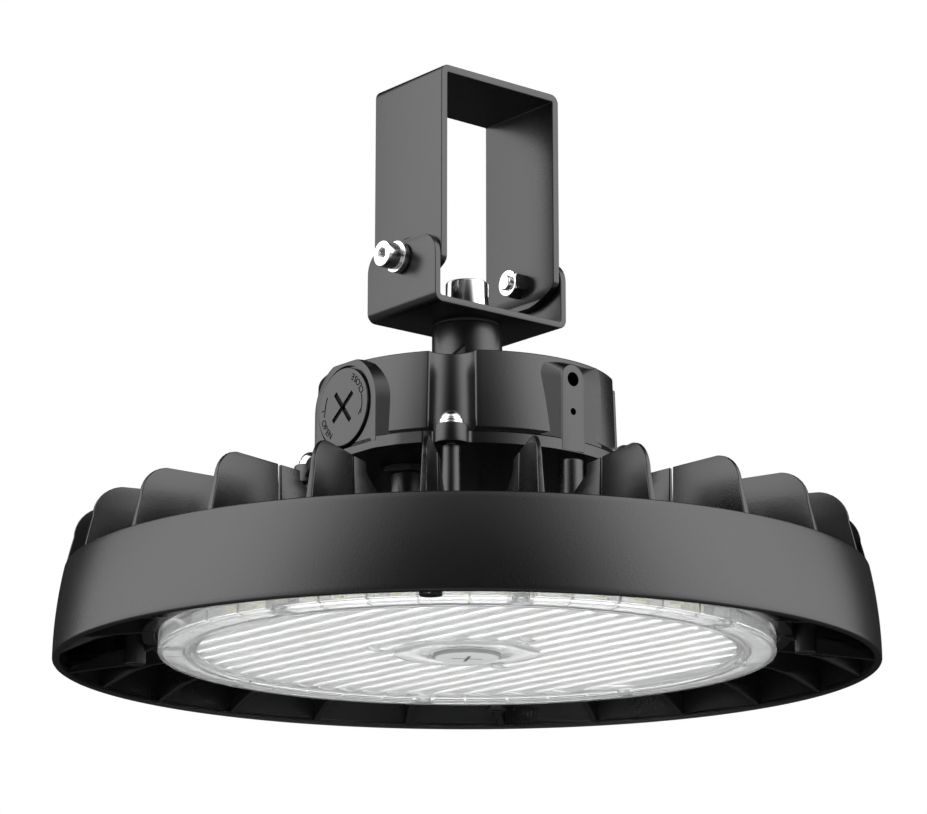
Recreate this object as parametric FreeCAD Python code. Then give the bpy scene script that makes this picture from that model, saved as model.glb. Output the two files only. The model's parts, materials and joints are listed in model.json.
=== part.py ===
import FreeCAD, Part
import math
import os

# A round high bay light on a tilting yoke.
# Z is the light's axis and points up, X is the axis of the yoke's two pivot bolts, and the origin
# is the centre of the shroud's bottom rim. All sizes are in millimetres.

# Shroud ring
rim_radius = 201.0
shroud_curve = 215.0
shroud_height = 44.8
shroud_wall = 2.4
rim_bead = 3.6
rim_bead_height = 3.0

# Fins
fin_count = 24
fin_tip_thickness = 1.8
fin_root_thickness = 3.1
fin_top = 74.0
fin_corner = 15.5
fin_setback = 0.4
fin_underside = 13.6
slot_radius = 148.0
slot_width = 2.0
inner_fin_depth = 15.0
inner_fin_drop = 4.7
inner_fin_foot = 86.0
inner_fin_foot_height = 46.0

# Accessory posts under the ring
quarter = 4
post_reach = 164.6
post_radius = 5.3
post_bottom = 4.7
post_top = 42.0
post_hole_radius = 2.5
post_hole_depth = 14.0
first_post_angle = 45.0

# Heat sink plate and what stands on it
plate_rim = 4.0
plate_bottom = 15.5
plate_thickness = 5.0
hub_radius = 24.0
hub_height = 20.0
hub_roof = 4.0
sensor_wire_radius = 10.0
wire_turret_x = -38.0
wire_turret_radius = 13.0
wire_turret_top = 80.0
turret_spigot_radius = 8.0
post_spigot_radius = 3.0
spigot_depth = 4.0
nipple_radius = 8.0
nipple_bore = 5.0
nipple_flat = 24.0
nipple_flange = 2.5
nipple_depth = 10.0
nipple_nut_height = 4.5
nipple_seal_radius = 11.5
nipple_seal_thickness = 1.0

# Join between the ring and the heat sink
seat_clearance = 0.1
collar_width = 6.4
collar_height = 5.5
ring_screw_inset = 6.0
first_ring_screw_angle = 7.5
ring_lug_radius = 5.5
ring_lug_height = 4.0

# Lens
lens_edge_gap = 1.5
lens_bottom = 5.4
lens_wall = 2.4
lens_field_bottom = 7.2
lens_field_thickness = 3.0
lens_channel = 16.0
lens_rib_pitch = 12.85
lens_rib_depth = 1.5
lens_centre_radius = 36.0
gasket_width = 3.4
gasket_depth = 1.6
lens_groove_inside = 0.8
lens_groove_outside = 0.6
lens_groove_depth = 0.8
lens_screw_count = 8
lens_screw_inset = 6.5
first_lens_screw_angle = 15.0
lens_boss_width = 12.0
lens_screw_recess = 4.0
lens_web_thickness = 1.2
lens_web_drop = 3.0
lens_webs_per_boss = 4
support_reach = 45.0
support_radius = 4.2
support_count = 3
first_support_angle = 30.0

# Light board
board_edge_gap = 4.5
board_hole_radius = 27.0
board_thickness = 1.6
chip_size = 3.5
chip_height = 0.8
chip_edge_gap = 8.0
chip_inner_limit = 50.0
chip_spacing = 17.0
chip_screw_gap = 7.0
board_screw_reach = 105.0
board_screw_count = 6
first_board_screw_angle = 30.0

# Sensor port in the middle of the lens
sensor_cap_radius = 17.4
sensor_cap_face = 4.8
sensor_cap_head = 2.3
sensor_stem_radius = 13.0
sensor_stem_length = 6.0
sensor_collar_radius = 19.3
sensor_flange_radius = 25.0
sensor_flange_thickness = 3.0
sensor_seal_depth = 1.5
sensor_stem_gap = 0.5
sensor_slot_length = 11.1
sensor_slot_width = 1.6
sensor_slot_depth = 0.9
turning_clearance = 0.05
seal_section = 1.0

# Driver housing
housing_bottom = 94.5
housing_top = 141.35
housing_top_radius = 74.0
panel_bottom = 103.5
panel_bottom_radius = 75.3
band_radius = 77.0
band_top = 100.8
housing_wall = 4.0
housing_roof = 4.5
roof_edge = 0.8
scallop_radius = 12.0
lug_reach = 78.0
lug_radius = 8.4
lug_top = 102.0
lug_drop = 1.4
lug_post_radius = 4.6
side_post_radius = 5.8
side_post_top = 90.0
base_recess = 0.2
base_thickness = 3.0
base_radius = 72.6
base_screw_reach = 62.0
base_screw_length = 8.0
pillar_wall = 7.0
gasket_thickness = 0.8
base_tab_skin = 0.8

# Cap port on the housing's -X side, and its blank twin on +X
port_face = 76.4
port_half_width = 24.2
port_draft = 0.43
port_boss_depth = 16.0
port_bore_end = 50.0
port_height = 119.1
port_cap_radius = 19.0
port_cap_gap = 1.6
port_cap_thickness = 3.0
port_cap_proud = 1.2
port_cap_edge = 0.5
port_stem_radius = 16.0
port_stem_length = 7.0
port_seal_depth = 3.5
receptacle_radius = 14.0
receptacle_depth = 6.0
receptacle_gap = 1.0
receptacle_foot_half = 9.0
pin_reach = 6.0
pin_radius = 1.6
pin_depth = 4.0
pin_count = 3
cross_length = 19.6
cross_width = 2.6
cross_depth = 2.0

# Boss with the cable hole, on the -Y side
entry_x = 2.4
entry_face = 77.1
entry_half_width = 7.2
entry_draft = 2.4
entry_boss_depth = 7.0
entry_bore_end = 60.0
entry_arch_height = 130.7
entry_hole_radius = 3.5
entry_small_hole_radius = 1.75
entry_small_hole_height = 114.7

# Inside the housing
driver_size = (74.0, 56.0, 32.0)
driver_x = 19.0
driver_tab_x = 18.0
driver_tab_y = 33.0
driver_tab_radius = 5.0
driver_tab_height = 3.0
driver_corner = 4.0
terminal_size = (26.0, 14.0, 16.0)
terminal_y = -50.0
terminal_pitch = 8.1
terminal_screw_radius = 2.4
terminal_screw_depth = 6.0
terminal_mouth = 4.0
terminal_mouth_depth = 5.0
terminal_mouth_height = 3.0

# Neck and swivel
neck_radius = 17.6
neck_top = 172.0
gusset_thickness = 2.4
gusset_height = 18.4
gusset_reach = 64.0
gusset_tip = 0.8
swivel_shank_radius = 7.0
swivel_shank_length = 26.0
swivel_head_radius = 10.8
swivel_head_height = 14.0
swivel_head_edge = 0.8
swivel_socket_flat = 12.0
swivel_socket_depth = 8.0
swivel_spring_thickness = 3.0
swivel_plain_thickness = 1.6
swivel_plain_radius = 14.0
swivel_liner_thickness = 1.3
swivel_liner_radius = 16.6

# Brackets
cradle_width = 84.7
cradle_depth = 54.1
cradle_sheet = 3.5
cradle_bend = 4.8
cradle_leg_top = 209.5
cradle_leg_corner = 11.5
bracket_depth = 53.2
bracket_sheet = 4.0
bracket_bend = 4.6
bracket_top = 296.5
bracket_end = 186.8
bracket_end_curve = 45.9
bracket_corner = 5.0
liner_thickness = 0.5
pivot_height = 200.9

# Pivot bolts, M8
pivot_radius = 4.0
pivot_end = 2.3
pivot_head_radius = 6.65
pivot_head_height = 8.4
pivot_head_edge = 0.6
pivot_socket_flat = 6.0
pivot_socket_depth = 4.0
pivot_washer_radius = 7.6
pivot_washer_thickness = 0.9
pivot_spring_radius = 8.0
pivot_spring_thickness = 2.9
pivot_nut_flat = 13.0
pivot_nut_height = 8.0
pivot_nut_edge = 1.0
pivot_liner_radius = 11.0
spring_gap = 1.2

# Screws
screw_clearance = 0.3
thread_clearance = 0.05
blind_skin = 0.8
screw_end_gap = 1.5
lug_screw_depth = 14.0
thread_run_out = 2.0
m3 = {"shank": 1.5, "head": 3.0, "height": 2.0}
m4 = {"shank": 2.0, "head": 3.8, "height": 2.8}
m5 = {"shank": 2.5, "head": 5.3, "height": 5.0}
screw_washer_radius = 6.1
screw_washer_thickness = 1.0
screw_spring_radius = 5.0
screw_spring_thickness = 2.2

# Worked out from the values above
V = FreeCAD.Vector
ORIGIN = V(0, 0, 0)
UP = V(0, 0, 1)
fin_step = 360.0 / fin_count
slot_inner = slot_radius - slot_width / 2
slot_outer = slot_radius + slot_width / 2
inner_fin_end = slot_radius - inner_fin_depth
plate_radius = slot_radius + plate_rim
ring_screw_reach = slot_radius - ring_screw_inset
plate_top = plate_bottom + plate_thickness
lens_radius = plate_radius - lens_edge_gap
lens_field_radius = lens_radius - lens_channel
lens_screw_reach = lens_radius - lens_screw_inset
board_radius = lens_field_radius - board_edge_gap
chip_row_limit = board_radius - chip_edge_gap
board_bottom = plate_bottom - board_thickness
lens_inside = lens_field_bottom + lens_field_thickness
housing_inside_top = housing_top - housing_roof
base_bottom = housing_bottom + base_recess
base_top = base_bottom + base_thickness
ledge = base_top + gasket_thickness
lug_bottom = housing_bottom - lug_drop
port_cap_back = port_face + port_cap_proud - port_cap_thickness
screw_seat = lug_top + screw_washer_thickness + screw_spring_thickness
cavity_radius = panel_bottom_radius - housing_wall
pillar_radius = scallop_radius + pillar_wall
cradle_bottom = neck_top + swivel_liner_thickness
cradle_floor = cradle_bottom + cradle_sheet
cradle_outer = cradle_width / 2
cradle_inner = cradle_outer - cradle_sheet
bracket_outer = cradle_inner - liner_thickness
bracket_inner = bracket_outer - bracket_sheet
swivel_seat = cradle_floor + swivel_plain_thickness + swivel_spring_thickness
swivel_end = swivel_seat - swivel_shank_length
pivot_seat = cradle_outer + pivot_washer_thickness + pivot_spring_thickness
pivot_length = pivot_seat - bracket_inner + pivot_nut_height + pivot_end


def shell_radius(z):
    """Outside radius of the shroud's curve at height z."""
    return rim_radius - shroud_curve + math.sqrt(shroud_curve ** 2 - z ** 2)


def polar(radius, degrees, z=0.0):
    a = math.radians(degrees)
    return V(radius * math.cos(a), radius * math.sin(a), z)


def spun(shape, degrees):
    copy = shape.copy()
    copy.rotate(ORIGIN, UP, degrees)
    return copy


def around(shape, count, first=0.0):
    """Copies of a shape made at angle 0, evenly spaced about Z."""
    return [spun(shape, first + 360.0 * k / count) for k in range(count)]


def rod(radius, bottom, top, x=0.0, y=0.0):
    return Part.makeCylinder(radius, top - bottom, V(x, y, bottom))


def tube(outer, inner, bottom, top, x=0.0, y=0.0):
    return rod(outer, bottom, top, x, y).cut(rod(inner, bottom - 1, top + 1, x, y))


def block(x0, x1, y0, y1, z0, z1):
    return Part.makeBox(x1 - x0, y1 - y0, z1 - z0, V(x0, y0, z0))


def joined(first, others):
    return first.multiFuse(others).removeSplitter()


def outline(start, *steps):
    """Face in the XZ plane. A step is a point, or two points for an arc through the first."""
    edges = []
    here = V(start[0], 0, start[1])
    for step in steps + (start,):
        if isinstance(step[0], tuple):
            middle = V(step[0][0], 0, step[0][1])
            end = V(step[1][0], 0, step[1][1])
            edges.append(Part.Arc(here, middle, end).toShape())
        else:
            end = V(step[0], 0, step[1])
            edges.append(Part.makeLine(here, end))
        here = end
    return Part.Face(Part.Wire(edges))


def turned(face):
    return face.revolve(ORIGIN, UP, 360)


def standing_plate(face, thickness):
    """Solid of a face in the XZ plane, centred on that plane."""
    face.translate(V(0, -thickness / 2, 0))
    return face.extrude(V(0, thickness, 0))


def fin_plate(face):
    """Fin of a face in the XZ plane: as thick all the way up to the shroud's top, then tapering."""
    root = fin_root_thickness / 2
    tip = fin_tip_thickness / 2
    section = Part.Face(Part.makePolygon([
        V(0, -root, 0),
        V(0, root, 0),
        V(0, root, shroud_height),
        V(0, tip, fin_top),
        V(0, -tip, fin_top),
        V(0, -root, shroud_height),
        V(0, -root, 0),
    ]))
    return standing_plate(face, fin_root_thickness).common(section.extrude(V(rim_radius, 0, 0)))


def hexagon(flat, bottom, top):
    corner = flat / math.sqrt(3)
    points = [polar(corner, 60 * k, bottom) for k in range(7)]
    return Part.Face(Part.makePolygon(points)).extrude(V(0, 0, top - bottom))


def cross(length, width, bottom, top):
    arm = block(-length / 2, length / 2, -width / 2, width / 2, bottom, top)
    both = arm.fuse(spun(arm, 90))
    return spun(both, 45)


def screw(size, length, domed=False):
    """Screw pointing up: its head lies under z = 0 and its shank runs up."""
    head = rod(size["head"], -size["height"], 0)
    if domed:
        ball = dome_radius(size["head"], size["height"])
        head = head.common(Part.makeSphere(ball, V(0, 0, ball - size["height"])))
    return joined(head, [rod(size["shank"], -0.5, length)])


def dome_radius(radius, height):
    """Sphere that covers a head of this radius and height, rising from a thin rim."""
    rise = 0.85 * height
    return (radius ** 2 + rise ** 2) / (2 * rise)


def turned_over(shape):
    copy = shape.copy()
    copy.rotate(ORIGIN, V(1, 0, 0), 180)
    return copy


def placed(shape, at):
    copy = shape.copy()
    copy.translate(at)
    return copy


def ring_of(shape, count, radius, z, first):
    """Separate copies of a small piece, set round a circle."""
    return [spun(placed(shape, V(radius, 0, z)), first + 360.0 * k / count) for k in range(count)]


def holes(radius, bottom, top, circle, count, first):
    return ring_of(rod(radius, 0, top - bottom), count, circle, bottom, first)


# Shroud ring: a curved wall, its fins, the collar that sits on the heat sink, and four posts
def ring_wall():
    top = shroud_height
    inner = shroud_wall
    face = outline(
        (shell_radius(0) - rim_bead, 0),
        (shell_radius(0), 0),
        ((shell_radius(top / 2), top / 2), (shell_radius(top), top)),
        (shell_radius(top) - inner, top),
        ((shell_radius(top / 2) - inner, top / 2),
         (shell_radius(rim_bead_height) - inner, rim_bead_height)),
        (shell_radius(0) - rim_bead, rim_bead_height),
    )
    return turned(face)


def outer_fin(foot):
    """Fin of the ring. The foot is its lower edge, from beside the plate out to the rim."""
    skirt = plate_radius + seat_clearance
    corner_low = fin_top - fin_corner
    corner_out = shell_radius(corner_low) - fin_setback
    corner_in = corner_out - fin_corner
    bevel = fin_corner * math.sqrt(0.5)
    side = corner_low / 2
    rim = shell_radius(0) - fin_setback
    face = outline(
        (skirt, fin_underside),
        (skirt, plate_top),
        (slot_outer, plate_top),
        (slot_outer, fin_top),
        (corner_in, fin_top),
        ((corner_in + bevel, corner_low + bevel), (corner_out, corner_low)),
        ((shell_radius(side) - fin_setback, side), (rim, fin_setback)),
        *foot,
    )
    return fin_plate(face)


def plain_foot():
    start = post_reach - post_radius
    middle = (start + rim_radius) / 2
    return [((middle, fin_underside - 4.0), (start, fin_underside))]


def post_foot():
    return [(post_reach, post_bottom + 0.2), (post_reach, fin_underside)]


def ring_collar():
    skirt = plate_radius + seat_clearance
    outer = plate_radius + collar_width
    return turned(outline(
        (slot_outer, plate_top),
        (skirt, plate_top),
        (skirt, fin_underside),
        (outer, fin_underside),
        (outer, plate_top + collar_height),
        (slot_outer, plate_top + collar_height),
    ))


def ring_lug():
    end = rod(ring_lug_radius, plate_top, plate_top + ring_lug_height, ring_screw_reach)
    arm = block(ring_screw_reach, slot_outer + 2, -ring_lug_radius, ring_lug_radius,
                plate_top, plate_top + ring_lug_height)
    return end.fuse(arm)


def make_outer_ring():
    fins = []
    for k in range(fin_count):
        angle = k * fin_step
        on_post = (angle - first_post_angle) % (360.0 / quarter) == 0
        foot = post_foot() if on_post else plain_foot()
        fins.append(spun(outer_fin(foot), angle))
    posts = holes(post_radius, post_bottom, post_top, post_reach, quarter, first_post_angle)
    lugs = around(ring_lug(), quarter, first_ring_screw_angle)
    ring = joined(ring_wall(), [ring_collar()] + fins + posts + lugs)
    bores = holes(post_hole_radius, post_bottom - 1, post_bottom + post_hole_depth,
                  post_reach, quarter, first_post_angle)
    bores += holes(m5["shank"] + screw_clearance, plate_top - 1, plate_top + ring_lug_height + 1,
                   ring_screw_reach, quarter, first_ring_screw_angle)
    return ring.cut(bores)


# Heat sink: plate, hub and fins that end at the slot, notched for the pillars that stand in the plate
def inner_fin():
    face = outline(
        (hub_radius - 1, plate_top - 1),
        (slot_inner, plate_top - 1),
        (slot_inner, fin_top),
        (inner_fin_end, fin_top),
        (inner_fin_end, fin_top - inner_fin_drop),
        (inner_fin_foot, inner_fin_foot_height),
        (hub_radius - 1, plate_top + hub_height),
    )
    return fin_plate(face)


def gasket_groove():
    outer = lens_field_radius + gasket_width
    return tube(outer, lens_field_radius, plate_bottom - 1, plate_bottom + gasket_depth)


def make_heat_sink():
    plate = rod(plate_radius, plate_bottom, plate_top)
    hub = rod(hub_radius, plate_bottom, plate_top + hub_height)
    body = joined(plate, [hub] + around(inner_fin(), fin_count))
    spigot_bottom = plate_top - spigot_depth
    cuts = [
        gasket_groove(),
        rod(sensor_wire_radius, plate_bottom - 1, plate_top + hub_height - hub_roof),
        rod(nipple_bore, plate_bottom - 1, plate_top, wire_turret_x),
        rod(turret_spigot_radius + thread_clearance, spigot_bottom, plate_top, wire_turret_x),
        rod(wire_turret_radius + seat_clearance, plate_top, fin_top, wire_turret_x),
    ]
    for radius, first in ((lug_post_radius, first_post_angle), (side_post_radius, 0.0)):
        cuts += holes(radius + seat_clearance, plate_top, fin_top, lug_reach, quarter, first)
        cuts += holes(post_spigot_radius + thread_clearance, spigot_bottom, plate_top + 1,
                      lug_reach, quarter, first)
    cuts += holes(m4["shank"] + thread_clearance, plate_bottom - 1, plate_top - blind_skin,
                  lens_screw_reach, lens_screw_count, first_lens_screw_angle)
    cuts += holes(m5["shank"] + thread_clearance, plate_bottom + blind_skin, plate_top + 1,
                  ring_screw_reach, quarter, first_ring_screw_angle)
    cuts += holes(m3["shank"] + thread_clearance, plate_bottom - 1, plate_top - blind_skin,
                  board_screw_reach, board_screw_count, first_board_screw_angle)
    return body.cut(cuts)


def pillar(radius, top):
    """Upright pillar whose spigot is pressed into the heat sink's plate."""
    spigot = rod(post_spigot_radius, plate_top - spigot_depth, plate_top + 0.5, lug_reach)
    return joined(rod(radius, plate_top, top, lug_reach), [spigot])


def make_housing_posts():
    bottom = lug_bottom - lug_screw_depth - thread_run_out
    bore = rod(m5["shank"] + thread_clearance, bottom, lug_bottom + 1, lug_reach)
    return around(pillar(lug_post_radius, lug_bottom).cut(bore), quarter, first_post_angle)


def make_side_posts():
    return around(pillar(side_post_radius, side_post_top), quarter)


def make_wire_turret():
    spigot = rod(turret_spigot_radius, plate_top - spigot_depth, plate_top + 0.5, wire_turret_x)
    body = joined(rod(wire_turret_radius, plate_top, wire_turret_top, wire_turret_x), [spigot])
    thread = rod(nipple_radius + thread_clearance, wire_turret_top - nipple_depth - 1,
                 wire_turret_top + 1, wire_turret_x)
    return body.cut([thread, rod(nipple_bore, 0, wire_turret_top, wire_turret_x)])


def make_ring_screws():
    one = turned_over(screw(m5, ring_lug_height + plate_thickness - screw_end_gap))
    return ring_of(one, quarter, ring_screw_reach, plate_top + ring_lug_height, first_ring_screw_angle)


# Lens: a tray with a ribbed field, screw bosses, short webs and three supports for the board
def ribbed_field():
    half = int(lens_field_radius // lens_rib_pitch) + 1
    crest = lens_field_bottom
    valley = crest + lens_rib_depth
    left = -(half + 0.5) * lens_rib_pitch
    steps = []
    for k in range(-half, half + 1):
        x = k * lens_rib_pitch
        steps.append(((x, crest), (x + lens_rib_pitch / 2, valley)))
    right = (half + 0.5) * lens_rib_pitch
    face = outline((left, valley), *steps, (right, lens_inside), (left, lens_inside))
    slab = standing_plate(face, 2 * lens_radius)
    field = slab.common(rod(lens_field_radius + 1, 0, plate_bottom))
    centre = rod(lens_centre_radius, crest, lens_inside)
    return joined(field.cut(rod(lens_centre_radius - 0.5, 0, plate_bottom)), [centre])


def make_lens_cover():
    rib_outer = lens_field_radius + gasket_width
    tray = turned(outline(
        (lens_field_radius, lens_bottom),
        (lens_radius, lens_bottom),
        (lens_radius, plate_bottom),
        (lens_radius - lens_wall, plate_bottom),
        (lens_radius - lens_wall, lens_bottom + lens_wall),
        (rib_outer, lens_bottom + lens_wall),
        (rib_outer, plate_bottom),
        (lens_field_radius, plate_bottom),
    ))
    groove = tube(rib_outer + lens_groove_outside, rib_outer - lens_groove_inside,
                  lens_bottom - 1, lens_bottom + lens_groove_depth)
    channel = (rib_outer - 0.5, lens_radius - lens_wall + 0.5)
    boss = block(channel[0], channel[1], -lens_boss_width / 2, lens_boss_width / 2,
                 lens_bottom + 1, plate_bottom)
    bosses = around(boss, lens_screw_count, first_lens_screw_angle)
    web = block(channel[0], channel[1], -lens_web_thickness / 2, lens_web_thickness / 2,
                lens_bottom + 1, plate_bottom - lens_web_drop)
    gap = 360.0 / lens_screw_count / (lens_webs_per_boss + 1)
    webs = []
    for k in range(lens_webs_per_boss):
        webs += around(web, lens_screw_count, first_lens_screw_angle + gap * (k + 1))
    supports = holes(support_radius, lens_inside - 1, board_bottom,
                     support_reach, support_count, first_support_angle)
    body = joined(tray.cut(groove), [ribbed_field()] + bosses + webs + supports)
    head = m4["head"] + screw_clearance
    cuts = [rod(sensor_collar_radius + seat_clearance, 0, plate_bottom)]
    cuts += holes(m4["shank"] + screw_clearance, 0, plate_bottom + 1,
                  lens_screw_reach, lens_screw_count, first_lens_screw_angle)
    cuts += holes(head, lens_bottom - 1, lens_bottom + lens_screw_recess,
                  lens_screw_reach, lens_screw_count, first_lens_screw_angle)
    return body.cut(cuts)


def make_lens_gasket():
    outer = lens_field_radius + gasket_width
    return tube(outer, lens_field_radius, plate_bottom, plate_bottom + gasket_depth)


def make_lens_screws():
    seat = lens_bottom + lens_screw_recess
    one = screw(m4, plate_top - screw_end_gap - seat)
    return ring_of(one, lens_screw_count, lens_screw_reach, seat, first_lens_screw_angle)


# Light board with its chips in rows over the lens ribs
def make_led_board():
    board = tube(board_radius, board_hole_radius, board_bottom, plate_bottom)
    cuts = holes(m3["shank"] + screw_clearance, board_bottom - 1, plate_bottom + 1,
                 board_screw_reach, board_screw_count, first_board_screw_angle)
    cuts.append(rod(nipple_bore, board_bottom - 1, plate_bottom + 1, wire_turret_x))
    return board.cut(cuts)


def chip_places():
    rows = int(chip_row_limit // lens_rib_pitch)
    columns = int(chip_row_limit // chip_spacing)
    screws = [polar(board_screw_reach, first_board_screw_angle + 60 * k) for k in range(board_screw_count)]
    places = []
    for i in range(-rows, rows + 1):
        for j in range(-columns, columns + 1):
            at = V(i * lens_rib_pitch, (j + 0.5 * (i % 2)) * chip_spacing, 0)
            inside = chip_inner_limit < at.Length < chip_row_limit
            clear = all(at.distanceToPoint(s) > chip_screw_gap for s in screws)
            if inside and clear:
                places.append(at)
    return places


def make_led_chips():
    h = chip_size / 2
    chip = block(-h, h, -h, h, board_bottom - chip_height, board_bottom)
    return [placed(chip, at) for at in chip_places()]


def make_board_screws():
    one = screw(m3, board_thickness + plate_thickness - screw_end_gap)
    return ring_of(one, board_screw_count, board_screw_reach, board_bottom, first_board_screw_angle)


# Sensor port: a collar fixed to the plate through the lens, and its turning cap
def make_sensor_socket():
    flange_bottom = plate_bottom - sensor_flange_thickness
    rim = sensor_cap_face + sensor_cap_head
    body = rod(sensor_collar_radius, rim, plate_bottom)
    body = joined(body, [rod(sensor_flange_radius, flange_bottom, plate_bottom)])
    bore = rod(sensor_stem_radius + turning_clearance, rim - 1, rim + sensor_stem_length + sensor_stem_gap)
    return body.cut([bore, rod(sensor_wire_radius, rim, plate_bottom + 1)])


def make_sensor_cap():
    rim = sensor_cap_face + sensor_cap_head
    body = joined(
        rod(sensor_cap_radius, sensor_cap_face, rim),
        [rod(sensor_stem_radius, rim - 0.5, rim + sensor_stem_length)],
    )
    low = rim + sensor_seal_depth
    groove = tube(sensor_stem_radius + 1, sensor_stem_radius - seal_section, low, low + 2 * seal_section)
    slot = cross(sensor_slot_length, sensor_slot_width,
                 sensor_cap_face - 1, sensor_cap_face + sensor_slot_depth)
    return body.cut([groove, slot])


def make_sensor_cap_seal():
    low = sensor_cap_face + sensor_cap_head + sensor_seal_depth
    return tube(sensor_stem_radius, sensor_stem_radius - seal_section, low, low + 2 * seal_section)


def make_sensor_socket_seal():
    flange_bottom = plate_bottom - sensor_flange_thickness
    return tube(sensor_flange_radius - 1, sensor_collar_radius + 0.5, lens_inside, flange_bottom)


# Driver housing
def arch(half_width, arch_z, bottom, x):
    """Wire in the plane at this x: straight sides with a round top."""
    left = V(x, -half_width, bottom)
    right = V(x, half_width, bottom)
    left_top = V(x, -half_width, arch_z)
    right_top = V(x, half_width, arch_z)
    crown = V(x, 0, arch_z + half_width)
    return Part.Wire([
        Part.makeLine(right, left),
        Part.makeLine(left, left_top),
        Part.Arc(left_top, crown, right_top).toShape(),
        Part.makeLine(right_top, right),
    ])


def arch_boss(half_width, arch_z, face, draft, depth):
    """Boss towards +X whose sides widen with depth behind its flat face."""
    front = arch(half_width, arch_z, housing_bottom, face)
    back = arch(half_width + draft * depth, arch_z, housing_bottom, face - depth)
    return Part.makeLoft([front, back], True)


def port_shelf():
    """Part of the band that runs out flush with the port boss towards +X."""
    reach = math.hypot(port_face, port_half_width)
    turn = math.atan2(port_half_width, port_face) + math.acos(band_radius / reach)
    touch = polar(band_radius, math.degrees(turn))
    points = [
        V(0, -touch.y, housing_bottom),
        V(touch.x, -touch.y, housing_bottom),
        V(port_face, -port_half_width, housing_bottom),
        V(port_face, port_half_width, housing_bottom),
        V(touch.x, touch.y, housing_bottom),
        V(0, touch.y, housing_bottom),
    ]
    return Part.Face(Part.makePolygon(points + points[:1])).extrude(V(0, 0, band_top - housing_bottom))


def housing_outside():
    body = turned(outline(
        (0, housing_bottom),
        (band_radius, housing_bottom),
        (band_radius, band_top),
        (panel_bottom_radius, panel_bottom),
        (housing_top_radius, housing_top - roof_edge),
        (housing_top_radius - roof_edge, housing_top),
        (0, housing_top),
    ))
    port = arch_boss(port_half_width, port_height, port_face, port_draft, port_boss_depth)
    cable = arch_boss(entry_half_width, entry_arch_height, entry_face, entry_draft, entry_boss_depth)
    cable = spun(cable, -90)
    cable.translate(V(entry_x, 0, 0))
    limit = rod(2 * band_radius, housing_bottom, housing_top)
    bosses = [b.common(limit) for b in (spun(port, 180), port, cable)]
    return joined(body, bosses + [port_shelf(), spun(port_shelf(), 180)])


def gusset():
    inner = neck_radius - 2
    face = outline(
        (inner, housing_top - 1),
        (gusset_reach, housing_top - 1),
        (gusset_reach, housing_top + gusset_tip),
        (inner, housing_top + gusset_height),
    )
    return standing_plate(face, gusset_thickness)


def housing_cavity():
    space = rod(cavity_radius, base_top, housing_inside_top)
    pillars = holes(pillar_radius, base_bottom, housing_top, lug_reach, quarter, first_post_angle)
    return space.cut(pillars)


def make_driver_housing():
    scallops = holes(scallop_radius, lug_top, housing_top + 1, lug_reach, quarter, first_post_angle)
    body = housing_outside().cut(scallops + [housing_cavity()])
    lugs = holes(lug_radius, lug_bottom, lug_top, lug_reach, quarter, first_post_angle)
    neck = rod(neck_radius, housing_inside_top, neck_top)
    body = joined(body, lugs + [neck] + around(gusset(), quarter, first_post_angle))
    cuts = holes(m5["shank"] + screw_clearance, lug_bottom - 1, lug_top + 1,
                 lug_reach, quarter, first_post_angle)
    cuts.append(rod(base_radius + seat_clearance, lug_bottom - 1, ledge))
    shank = swivel_shank_radius + thread_clearance
    cuts.append(rod(shank, swivel_end - 1, neck_top + 1))
    cuts += holes(m3["shank"] + thread_clearance, base_top, base_bottom + base_screw_length + thread_run_out,
                  base_screw_reach, quarter, first_post_angle)
    cuts.append(along_x(port_cap_radius + port_cap_gap, -port_face - 1, -port_cap_back, port_height))
    cuts.append(along_x(port_stem_radius + turning_clearance, -port_face, -port_bore_end, port_height))
    cuts.append(cable_hole(entry_hole_radius, entry_arch_height))
    cuts.append(cable_hole(entry_small_hole_radius, entry_small_hole_height))
    return body.cut(cuts)


def along_x(radius, x0, x1, z, y=0.0):
    return Part.makeCylinder(radius, x1 - x0, V(x0, y, z), V(1, 0, 0))


def cable_hole(radius, z):
    length = entry_face + 1 - entry_bore_end
    return Part.makeCylinder(radius, length, V(entry_x, -entry_face - 1, z), V(0, 1, 0))


def base_screw_holes(bottom, top):
    return holes(m3["shank"] + screw_clearance, bottom, top, base_screw_reach, quarter, first_post_angle)


def driver_tabs(radius, bottom, top):
    return [rod(radius, bottom, top, driver_tab_x, side * driver_tab_y) for side in (-1, 1)]


def make_housing_base():
    plate = rod(base_radius, base_bottom, base_top)
    cuts = base_screw_holes(base_bottom - 1, base_top + 1)
    cuts += driver_tabs(m3["shank"] + thread_clearance, base_bottom + base_tab_skin, base_top + 1)
    cuts.append(rod(nipple_radius + seat_clearance, base_bottom - 1, base_top + 1, wire_turret_x))
    return plate.cut(cuts)


def make_housing_gasket():
    ring = rod(base_radius, base_top, ledge).cut(housing_cavity())
    return ring.cut(base_screw_holes(base_top - 1, ledge + 1))


def make_base_screws():
    one = screw(m3, base_screw_length)
    return ring_of(one, quarter, base_screw_reach, base_bottom, first_post_angle)


def make_wire_nipple():
    flange_top = base_bottom - nipple_seal_thickness
    end = base_top + nipple_nut_height + thread_run_out
    body = rod(nipple_radius, wire_turret_top - nipple_depth, end, wire_turret_x)
    collar = placed(hexagon(nipple_flat, flange_top - nipple_flange, flange_top), V(wire_turret_x, 0, 0))
    return joined(body, [collar]).cut(rod(nipple_bore, 0, housing_top, wire_turret_x))


def make_nipple_nut():
    nut = placed(hexagon(nipple_flat, base_top, base_top + nipple_nut_height), V(wire_turret_x, 0, 0))
    return nut.cut(rod(nipple_radius, 0, housing_top, wire_turret_x))


def make_nipple_seal():
    low = base_bottom - nipple_seal_thickness
    return tube(nipple_seal_radius, nipple_radius, low, base_bottom, wire_turret_x)


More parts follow.
